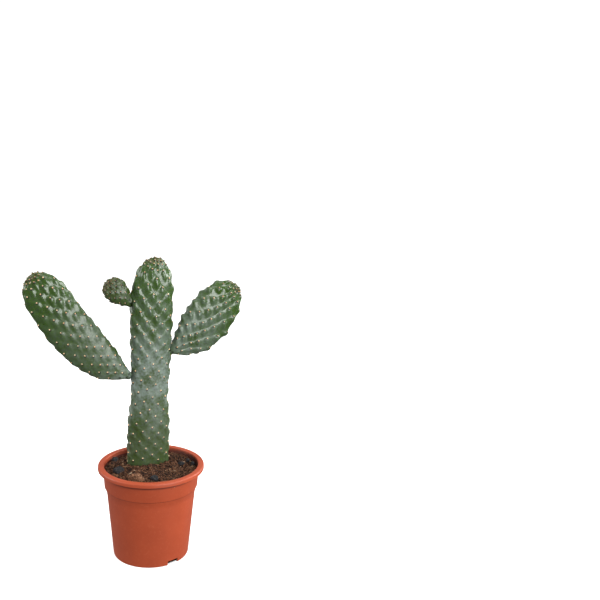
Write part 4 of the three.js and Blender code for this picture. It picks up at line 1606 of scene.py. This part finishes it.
@dataclass
class Pot:
    """The moulded nursery pot: a thin tapered shell with a lip, a collar and two drain channels."""

    height: float = 105.6
    rim: float = 60
    lip_drop: float = 4.7
    lip_rounding: float = 1.6
    lip_skirt: float = 1.3
    lip_ease: float = 0.8
    neck: float = 54.4
    collar: float = 52.8
    collar_height: float = 81.5
    collar_step: float = 0.5
    shoulder: float = 50
    shoulder_height: float = 73.5
    base: float = 42.9
    foot_rounding: float = 0.8
    wall: float = 1.2
    floor: float = 1.6
    segments: int = 224
    drain_azimuths: tuple[float, ...] = (35, 215)
    drain_width: float = 13.4
    drain_height: float = 5.1
    drain_reach: float = 15
    drain_roof: float = 1.3
    drain_hole: float = 3.2

    def inner(self, z: Array | float) -> Array | float:
        """The inner wall's radius at a height."""
        heights = (0, self.shoulder_height, self.collar_height, self.height - self.lip_ease)
        return np.interp(z, heights, (self.base, self.shoulder, self.collar, self.neck)) - self.wall

    @staticmethod
    def arc(centre: Pair, radius: float, start: float, end: float) -> list[Pair]:
        """Points of a rounding from one angle to another, in degrees, each a radius and a height."""
        turns = np.radians(np.linspace(start, end, 6))
        return [(centre[0] + radius * math.cos(t), centre[1] + radius * math.sin(t)) for t in turns]

    def profile(self) -> list[Pair]:
        """Follow the shell's section from the middle of its base round to its floor.

        Returns:
            The section's points, each a radius and a height.
        """
        top = self.height
        foot = self.foot_rounding
        rounding = self.lip_rounding
        skirt = top - self.lip_skirt
        under = self.rim - self.lip_skirt
        bead = self.lip_ease
        inner = float(self.inner(top))
        return [
            (0, 0),
            (self.base - 4, 0),
            *self.arc((self.base - foot, foot), foot, -90, 0),
            (self.shoulder - 0.15, self.shoulder_height - 1.5),
            (self.shoulder + 0.15, self.shoulder_height + 1),
            (self.collar - self.collar_step - 0.2, self.collar_height - 0.9),
            (self.collar - self.collar_step, self.collar_height - 0.35),
            (self.collar - 0.1, self.collar_height - 0.15),
            (self.collar + 0.02, self.collar_height + 0.25),
            (self.neck - 0.25, skirt - 2),
            (self.neck, skirt),
            (under - 0.3, skirt),
            (under, skirt - 0.3),
            (under, top - self.lip_drop + 0.2),
            (under + 0.25, top - self.lip_drop),
            (self.rim - 0.35, top - self.lip_drop),
            (self.rim, top - self.lip_drop + 0.35),
            *self.arc((self.rim - rounding, top - rounding), rounding, 0, 90),
            *self.arc((inner + bead, top - bead), bead, 90, 180),
            (inner - 0.1, top - 3),
            (float(self.inner(self.collar_height)), self.collar_height),
            (float(self.inner(self.shoulder_height)), self.shoulder_height),
            (float(self.inner(self.floor)), self.floor),
            (0, self.floor),
        ]

    @staticmethod
    def spoke(azimuth: float, reach: Pair, width: float, heights: Pair) -> Object:
        """A box lying along one azimuth.

        Args:
            azimuth: The azimuth, in degrees.
            reach: Where it starts and ends, off the pot's axis.
            width: Its width.
            heights: Its underside's and top's heights.

        Returns:
            The box.
        """
        start, end = reach
        turn = math.radians(azimuth - 90)
        ahead = np.array([math.cos(turn), math.sin(turn), 0])
        side = np.array([-math.sin(turn), math.cos(turn), 0])
        half = width / 2
        points = [
            ahead * along + side * across + np.array([0, 0, z])
            for z in heights
            for along, across in ((start, -half), (end, -half), (end, half), (start, half))
        ]
        faces = [[3, 2, 1, 0], [4, 5, 6, 7], [0, 1, 5, 4], [1, 2, 6, 5], [2, 3, 7, 6], [3, 0, 4, 7]]
        return make_object("spoke", np.array(points), faces)

    def hole(self, azimuth: float, distance: float, middle: float) -> Object:
        """An upright round plug that cuts a drain hole.

        Args:
            azimuth: The azimuth that it stands at, in degrees.
            distance: How far off the pot's axis it stands.
            middle: Its middle's height.

        Returns:
            The plug.
        """
        turn = math.radians(azimuth - 90)
        centre = np.array([distance * math.cos(turn), distance * math.sin(turn), middle])
        path = centre + np.array([(0, 0, -2 * self.drain_roof), (0, 0.001, 2 * self.drain_roof)])
        points, faces = strand(path, (self.drain_hole, self.drain_hole), 32)
        return make_object("hole", points, faces)

    def drain(self, azimuth: float) -> list[tuple[str, Object]]:
        """Make the cutters of one drain channel with its hole.

        Args:
            azimuth: The channel's azimuth, in degrees.

        Returns:
            What to do with each cutter, and the cutter: the channel's cover, its space and its hole.
        """
        start = self.base - self.drain_reach
        roof = self.drain_height + self.drain_roof
        cover_reach = (start - self.drain_roof, self.base - self.wall / 2)
        cover_width = self.drain_width + 2 * self.drain_roof
        cover = self.spoke(azimuth, cover_reach, cover_width, (self.floor / 2, roof))
        channel = self.spoke(azimuth, (start, self.rim), self.drain_width, (-1, self.drain_height))
        hole = self.hole(azimuth, start + 0.4 * self.drain_reach, roof)
        return [("UNION", cover), ("DIFFERENCE", channel), ("DIFFERENCE", hole)]

    def build(self) -> None:
        """Turn the shell and cut its drain channels."""
        profile = self.profile()
        turns = np.arange(self.segments) * TURN / self.segments
        points = [(0.0, 0.0, profile[0][1])]
        for radius, z in profile[1:-1]:
            points += [(radius * math.cos(t), radius * math.sin(t), z) for t in turns]
        points.append((0.0, 0.0, profile[-1][1]))
        faces = ring_faces(len(profile) - 2, self.segments, flipped=True)
        pot = make_object("pot_shell_raw", np.array(points), faces, PotPlastic().material())
        steps = [step for azimuth in self.drain_azimuths for step in self.drain(azimuth)]
        for operation, cutter in steps:
            modifier = pot.modifiers.new(cutter.name, "BOOLEAN")
            modifier.operation = operation
            modifier.solver = "EXACT"
            modifier.object = cutter
        shell = frozen(pot, "pot_shell")
        for _, cutter in steps:
            bpy.data.objects.remove(cutter)
        shell.data.shade_smooth()
        shell.data.set_sharp_from_angle(angle=math.radians(38))
        settle(shell, "pot", "pot")


class LumpKind(Enum):
    """What a lump is a lump of."""

    CHARCOAL = "charcoal"
    BARK = "bark"


@dataclass(frozen=True)
class Lump:
    """One lump half sunk in the soil: its place, half sizes and turn."""

    name: str
    at: Pair
    size: Point
    turn: float
    seed: int
    kind: LumpKind = LumpKind.CHARCOAL


@dataclass(frozen=True)
class Loose:
    """One kind of loose bit on the soil: its shapes, how many lie there and how they vary."""

    name: str
    finish: Speckled
    shapes: list[Object]
    amount: float
    tilt: float
    smallest: float
    largest: float
    seed: int


@dataclass
class SoilBed:
    """The potting mix: a plug banked up round the trunk, its crumbs and fibres, and the lumps in it."""

    pot: Pot
    trunk: Pad = field(default_factory=lambda: MAIN_PAD)
    level: float = 98.2
    bank: float = 3.2
    bank_reach: float = 26
    crumb: float = 1.1
    roughness: float = 1.5
    foot_width: float = 23.7
    foot_thickness: float = 11.5
    foot_clearance: float = 0.9
    foot_bottom: float = 62
    rings: int = 88
    segments: int = 300
    lump_raised: float = 0.1
    lump_uneven: float = 0.24
    breaks: int = 15
    break_depth: Pair = (0.74, 0.93)
    lumps: tuple[Lump, ...] = (
        Lump("charcoal_front_left", (-36.4, -8.9), (6.8, 6.4, 5.6), 20, 3),
        Lump("charcoal_front", (3.2, -30.2), (4.3, 5, 5.4), 65, 8),
        Lump("charcoal_right", (34, 9.2), (4.8, 3.8, 3.4), -25, 11),
        Lump("charcoal_far_right", (42, 17.8), (3.1, 2.9, 2.8), 40, 17),
        Lump("charcoal_by_wall", (47.6, 8), (3, 3.7, 4.3), 5, 20),
        Lump("charcoal_left", (-42, 21.5), (4.4, 4.6, 4.6), 10, 23),
        Lump("bark_front", (-16.4, -31.5), (8.6, 7.8, 7.2), 0, 31, LumpKind.BARK),
    )

    def trunk_reach(self, x: Array, y: Array) -> Array:
        """How far out of the trunk's foot a place lies.

        Args:
            x: Places across.
            y: Places to the back.

        Returns:
            The reach, which is under 1 inside the foot.
        """
        facing = math.radians(self.trunk.facing)
        dx = x - self.trunk.root[0]
        dy = y - self.trunk.root[1]
        across = np.abs(dx * math.cos(facing) + dy * math.sin(facing)) / self.foot_width
        out = np.abs(dy * math.cos(facing) - dx * math.sin(facing)) / self.foot_thickness
        return (across ** FLATNESS + out ** FLATNESS) ** (1 / FLATNESS)

    def ground(self, x: Array, y: Array) -> Array:
        """The soil's even height, banked up round the trunk."""
        away = np.maximum(0, self.trunk_reach(x, y) - 1) * self.foot_thickness * 2 / self.bank_reach
        return self.level + self.bank * np.exp(-away * away)

    def humps(self, x: Array, y: Array) -> Array:
        """The soil's coarse unevenness, -1 to 1, at places across and to the back."""
        coarse = np.sin(0.61 * x + 1.3 * np.sin(0.37 * y)) * np.cos(0.57 * y + np.sin(0.29 * x))
        return 0.6 * coarse + 0.4 * (np.sin(1.17 * x - 0.83 * y + 2.1) * np.sin(0.91 * x + 1.29 * y))

    def surface(self, x: Array, y: Array) -> tuple[Array, Array]:
        """The soil's top in full detail.

        Args:
            x: Places across.
            y: Places to the back.

        Returns:
            Heights, and how high each place stands over its surroundings, 0 to 1.
        """
        flat = np.stack((x, y, np.zeros(len(x))), 1)
        rough = 0.6 * grain(flat, 6.5, 2, 4) + 0.4 * grain(flat, 2.4, 7, 3)
        height = self.ground(x, y) + self.crumb * self.humps(x, y) + self.roughness * rough * 1.6
        return height, np.clip(0.5 + rough * 1.3, 0, 1)

    def build(self) -> None:
        """Build the soil, what lies loose on it and the lumps."""
        body = self._body(SoilMix().material())
        self._scatter(body)
        settle(body, "soil", "soil")
        self._lumps()

    def _body(self, material: Material) -> Object:
        """The soil's closed body, with the trunk's hole and the drain channels' roofs left free.

        Args:
            material: The soil's material.

        Returns:
            The body.
        """
        bottom = self.pot.floor + GAP
        top_radius = float(self.pot.inner(self.level + 1)) - GAP
        radii = top_radius * np.arange(1, self.rings + 1) / self.rings
        turns = np.arange(self.segments) * TURN / self.segments
        radius, turn = (part.ravel() for part in np.meshgrid(radii, turns, indexing="ij"))
        x = np.concatenate(([0], radius * np.cos(turn)))
        y = np.concatenate(([0], radius * np.sin(turn)))
        z, crest = self.surface(x, y)
        reach = self.trunk_reach(x, y)
        hole = reach < 1 + self.foot_clearance / self.foot_thickness
        z = np.where(hole, self.foot_bottom - GAP, z)
        at_wall = ease(np.hypot(x, y), top_radius - 2.5, top_radius)
        z = z - at_wall * np.where(hole, 0, 0.8)
        top = np.stack((x, y, z), 1)
        walls = []
        for height in (self.pot.collar_height, self.pot.shoulder_height, bottom):
            wall = float(self.pot.inner(height)) - GAP
            level = np.full(len(turns), height)
            walls.append(np.stack((wall * np.cos(turns), wall * np.sin(turns), level), 1))
        under_radius = float(self.pot.inner(bottom)) - GAP
        shrink = np.arange(self.rings - 1, 0, -4) / self.rings
        under = []
        for share in shrink:
            ux = under_radius * share * np.cos(turns)
            uy = under_radius * share * np.sin(turns)
            under.append(np.stack((ux, uy, self._under(ux, uy, bottom)), 1))
        points = np.vstack((top, *walls, *under, [(0, 0, bottom)]))
        faces = ring_faces(self.rings + len(walls) + len(under), self.segments)
        spare = len(points) - len(top)
        hidden = hole | (np.hypot(x, y) > top_radius - 0.8)
        numbers = {
            "crest": np.concatenate((crest, np.full(spare, 0.5))),
            "open": np.concatenate((np.where(hidden, 0.0, 1.0), np.zeros(spare))),
        }
        return make_object("soil_bed", points, faces, material, numbers)

    def _under(self, x: Array, y: Array, bottom: float) -> Array:
        """The soil's underside, which steps up over the drain channels' roofs.

        Args:
            x: Places across.
            y: Places to the back.
            bottom: The height away from the channels.

        Returns:
            The heights.
        """
        height = np.full(len(x), bottom)
        pot = self.pot
        for azimuth in pot.drain_azimuths:
            turn = math.radians(azimuth - 90)
            along = x * math.cos(turn) + y * math.sin(turn)
            across = np.abs(y * math.cos(turn) - x * math.sin(turn))
            inside = along > pot.base - pot.drain_reach - pot.drain_roof - GAP
            inside &= across < pot.drain_width / 2 + pot.drain_roof + GAP
            height = np.where(inside, pot.drain_height + pot.drain_roof + GAP, height)
        return height

    def _scatter(self, body: Object) -> None:
        """Plant crumbs, chips and fibres over the soil's top.

        Args:
            body: The soil's body.
        """
        planting = Planting(Ground.FACES)
        crumbs = Speckled("soil_crumbs", (srgb(22, 14, 11), srgb(58, 38, 29), srgb(116, 80, 60)))
        coir = Speckled("soil_fibres", (srgb(42, 25, 18), srgb(100, 62, 42), srgb(174, 126, 92)), 1.6)
        chips = Speckled("wood_chips", (srgb(98, 68, 48), srgb(150, 116, 86), srgb(188, 164, 140)), 2)
        kinds = (
            Loose(
                "soil_crumbs", crumbs, [self._crumb(seed) for seed in range(5)],
                amount=260000, tilt=0.5, smallest=0.35, largest=1.0, seed=5,
            ),
            Loose(
                "soil_fibres", coir, [self._fibre(seed) for seed in range(7)],
                amount=190000, tilt=0.35, smallest=0.5, largest=1.15, seed=17,
            ),
            Loose(
                "wood_chips", chips, [self._chip(seed) for seed in range(4)],
                amount=9000, tilt=0.35, smallest=0.5, largest=1.1, seed=29,
            ),
        )
        for kind in kinds:
            ground = linked("ground", body.data.copy())
            piece = planting.plant(
                kind.name, ground, kind.shapes,
                Amount=float(kind.amount), Tilt=kind.tilt, Smallest=kind.smallest, Largest=kind.largest,
                Seed=kind.seed, Finish=kind.finish.material(),
            )
            settle(piece, "soil")

    @staticmethod
    def _crumb(seed: int) -> Object:
        """One crumb of soil.

        Args:
            seed: What its roughness is drawn from.

        Returns:
            The crumb, about 2.5 mm across.
        """
        points, faces = ball(4, 6)
        points = points * (1.25, 1.05, 0.85) * (1 + 0.35 * grain(points, 0.9, 40 + seed, 2))[:, None]
        return make_object("crumb", points + (0, 0, 0.25), faces, sharp_over=40)

    @staticmethod
    def _fibre(seed: int) -> Object:
        """One bent fibre.

        Args:
            seed: What its size and bend are drawn from.

        Returns:
            The fibre, 4 to 7.5 mm long, lying on the ground.
        """
        draw = np.random.default_rng(60 + seed)
        length = draw.uniform(4, 7.5)
        bend = draw.uniform(-1.3, 1.3)
        rise = draw.uniform(0.2, 1.1)
        share = np.linspace(-0.5, 0.5, 5)
        arch = 1 - 4 * share ** 2
        wave = bend * arch + 0.25 * np.sin(share * 9 + seed)
        path = np.stack((length * share, wave, 0.15 + rise * arch), 1)
        radius = draw.uniform(0.14, 0.3)
        points, faces = strand(path, radius * np.array([0.45, 0.9, 1, 0.85, 0.35]), 4, 0.6)
        return make_object("fibre", points, faces)

    @staticmethod
    def _chip(seed: int) -> Object:
        """One flat sliver of wood.

        Args:
            seed: What its size and tilt are drawn from.

        Returns:
            The sliver, 5 to 8.5 mm long, lying on the ground.
        """
        draw = np.random.default_rng(80 + seed)
        length = draw.uniform(5, 8.5)
        share = np.linspace(-0.5, 0.5, 4)
        wave = 0.3 * np.sin(share * 5 + seed)
        path = np.stack((length * share, wave, 0.45 + 0.9 * share * draw.uniform(-1, 1)), 1)
        points, faces = strand(path, draw.uniform(0.7, 1.2) * np.array([0.5, 1, 0.9, 0.35]), 6, 0.3)
        return make_object("chip", points, faces, sharp_over=35)

    def _lumps(self) -> None:
        """Build the charcoal and bark lumps."""
        materials = {LumpKind.CHARCOAL: Charcoal().material(), LumpKind.BARK: Bark().material()}
        for lump in self.lumps:
            points, faces = ball(40, 64)
            x, y, z = self._lump_form(points, lump).T
            turn = math.radians(lump.turn)
            across = x * math.cos(turn) - y * math.sin(turn)
            back = x * math.sin(turn) + y * math.cos(turn)
            level = float(self.ground(*np.array([lump.at]).T)[0])
            place = np.array([*lump.at, level + self.lump_raised * lump.size[2]])
            points = np.stack((across, back, z), 1) + place
            piece = make_object(lump.name + "_lump", points, faces, materials[lump.kind], None, 40)
            settle(piece, lump.kind.value, lump.name)

    def _lump_form(self, points: Array, lump: Lump) -> Array:
        """Shape a ball into a lump, with flat breaks on charcoal and ribs on bark.

        Args:
            points: The unit ball's points.
            lump: The lump.

        Returns:
            The lump's points about its middle.
        """
        x, y, z = points.T
        seed = lump.seed
        wobble = np.sin(2.7 * x + seed) * np.sin(3.1 * y + 2 * seed) * np.sin(2.9 * z + 3 * seed)
        scale = 1 + self.lump_uneven * wobble
        if lump.kind is LumpKind.CHARCOAL:
            points = points * np.array(lump.size) * self._chipped(points, scale, seed)[:, None]
            return points * (1 + 0.035 * grain(points, 1.2, seed, 3))[:, None]
        points = points * np.array(lump.size) * scale[:, None]
        outward = points / np.linalg.norm(points, axis=1)[:, None]
        ribs = np.abs(grain(points * (1, 0.35, 1), 1.3, seed, 3))
        return points + outward * (0.9 * grain(points, 2.6, seed, 3) - 0.9 * ribs)[:, None]

    def _chipped(self, points: Array, scale: Array, seed: int) -> Array:
        """Cut a lump's ball back by flat breaks in random directions.

        Args:
            points: The unit ball's points.
            scale: How far out each is to lie.
            seed: What the breaks are drawn from.

        Returns:
            How far out each point lies after the breaks.
        """
        draw = np.random.default_rng(seed)
        for _ in range(self.breaks):
            way = draw.normal(size=3)
            way /= np.linalg.norm(way)
            depth = draw.uniform(*self.break_depth)
            facing = points @ way
            scale = np.where(facing * scale > depth, depth / np.maximum(facing, 1e-3), scale)
        return scale


@dataclass(frozen=True)
class Lamp:
    """A soft rectangular light: where it stands as seen from the plant, its size and its radiance."""

    name: str
    azimuth: float
    elevation: float
    distance: float
    width: float
    height: float
    radiance: float


@dataclass
class Studio:
    """The camera, the soft light and the pale floor."""

    position: Point = (8, -828, 445)
    yaw: float = 6.20
    pitch: float = 10.25
    roll: float = 1.29
    focal_pixels: float = 764
    image_pixels: float = 600
    centre_pixel: float = 240.5
    sensor: float = 36
    floor_size: float = 12000
    floor_drop: float = 0.02
    floor_light: float = 3.4
    floor_light_angle: float = 70
    backdrop: float = 1.05
    room_level: float = 0.3
    room_rise: float = 0.16
    light_colour: Colour = (0.97, 0.99, 0.98)
    aim: Point = (0, 0, 170)
    lamps: tuple[Lamp, ...] = (
        Lamp("key_light", azimuth=37, elevation=12, distance=1400, width=900, height=720, radiance=9),
        Lamp("top_light", azimuth=40, elevation=72, distance=1500, width=900, height=900, radiance=2.6),
        Lamp("rim_light", azimuth=112, elevation=25, distance=1400, width=600, height=1200, radiance=8),
        Lamp("side_light", azimuth=-95, elevation=20, distance=1400, width=900, height=1200, radiance=4.2),
    )

    def build(self) -> None:
        """Place the camera, the lights, the room and the floor."""
        self._camera()
        for lamp in self.lamps:
            self._lamp(lamp)
        self._room()
        self._floor()

    def _camera(self) -> None:
        """Place the camera where the photograph was taken from."""
        yaw, pitch, roll = (math.radians(angle) for angle in (self.yaw, self.pitch, self.roll))
        ahead = np.array([math.sin(yaw) * math.cos(pitch), math.cos(yaw) * math.cos(pitch), -math.sin(pitch)])
        right = np.array([math.cos(yaw), -math.sin(yaw), 0])
        up = np.cross(right, ahead)
        across = right * math.cos(roll) + up * math.sin(roll)
        above = up * math.cos(roll) - right * math.sin(roll)
        data = bpy.data.cameras.new("camera")
        data.sensor_width = self.sensor
        data.lens = self.focal_pixels / self.image_pixels * self.sensor
        data.shift_x = 0.5 - self.centre_pixel / self.image_pixels
        data.dof.use_dof = False
        camera = linked("camera", data)
        place = np.array(self.position) * MM
        rows = np.column_stack((across, above, -ahead, place))
        camera.matrix_world = Matrix([*rows.tolist(), [0, 0, 0, 1]])
        bpy.context.scene.camera = camera

    def _lamp(self, lamp: Lamp) -> None:
        """Place one soft rectangular light and aim it at the plant's middle.

        Args:
            lamp: The light.
        """
        azimuth = math.radians(lamp.azimuth)
        elevation = math.radians(lamp.elevation)
        level = math.cos(elevation)
        back = np.array([math.sin(azimuth) * level, -math.cos(azimuth) * level, math.sin(elevation)])
        side = np.cross((0, 0, 1), back)
        side /= np.linalg.norm(side)
        data = bpy.data.lights.new(lamp.name, "AREA")
        data.shape = "RECTANGLE"
        data.size = lamp.width * MM
        data.size_y = lamp.height * MM
        data.energy = lamp.radiance * math.pi * lamp.width * lamp.height * MM * MM
        data.color = self.light_colour
        made = linked(lamp.name, data)
        place = (np.array(self.aim) + back * lamp.distance) * MM
        rows = np.column_stack((side, np.cross(back, side), back, place))
        made.matrix_world = Matrix([*rows.tolist(), [0, 0, 0, 1]])

    def _room(self) -> None:
        """A dim room, lighter above, with a white backdrop behind the plant for the camera."""
        scene = bpy.context.scene
        scene.view_settings.view_transform = "Standard"
        scene.view_settings.look = "None"
        world = bpy.data.worlds.new("room")
        world.use_nodes = True
        world.node_tree.nodes.clear()
        graph = Graph(world.node_tree)
        seen = graph.node("ShaderNodeLightPath", None, None, "Is Camera Ray")
        way = graph.node("ShaderNodeTexCoord", None, None, "Generated")
        up = graph.node("ShaderNodeSeparateXYZ", None, {0: way}, "Z")
        strength = seen * self.backdrop + (1 - seen) * (self.room_level + up * self.room_rise)
        background = graph.node("ShaderNodeBackground", None, {"Strength": strength})
        output = graph.tree.nodes.new("ShaderNodeOutputWorld")
        graph.tree.links.new(background.socket, output.inputs["Surface"])
        background.socket.node.inputs["Color"].default_value = (1, 1, 1, 1)
        scene.world = world

    def _floor(self) -> None:
        """A pale floor with an even light of its own, which keeps it as pale as the backdrop."""
        half = self.floor_size / 2
        signs = ((-1, -1), (1, -1), (1, 1), (-1, 1))
        corners = np.array([(half * x, half * y, -self.floor_drop) for x, y in signs])
        floor = make_object("floor", corners, [[0, 1, 2, 3]], PaleFloor().material())
        floor.visible_diffuse = False
        floor.visible_glossy = False
        lit = bpy.data.collections.new("lit_by_floor_light")
        lit.objects.link(floor)
        data = bpy.data.lights.new("floor_light", "SUN")
        data.energy = self.floor_light
        data.angle = math.radians(self.floor_light_angle)
        data.use_shadow = False
        sun = linked("floor_light", data)
        sun.light_linking.receiver_collection = lit


def main() -> None:
    """Build the studio, the pot, the soil and the plant."""
    Studio().build()
    pot = Pot()
    pot.build()
    SoilBed(pot).build()
    Cactus().build()


if __name__ == "__main__":
    main()
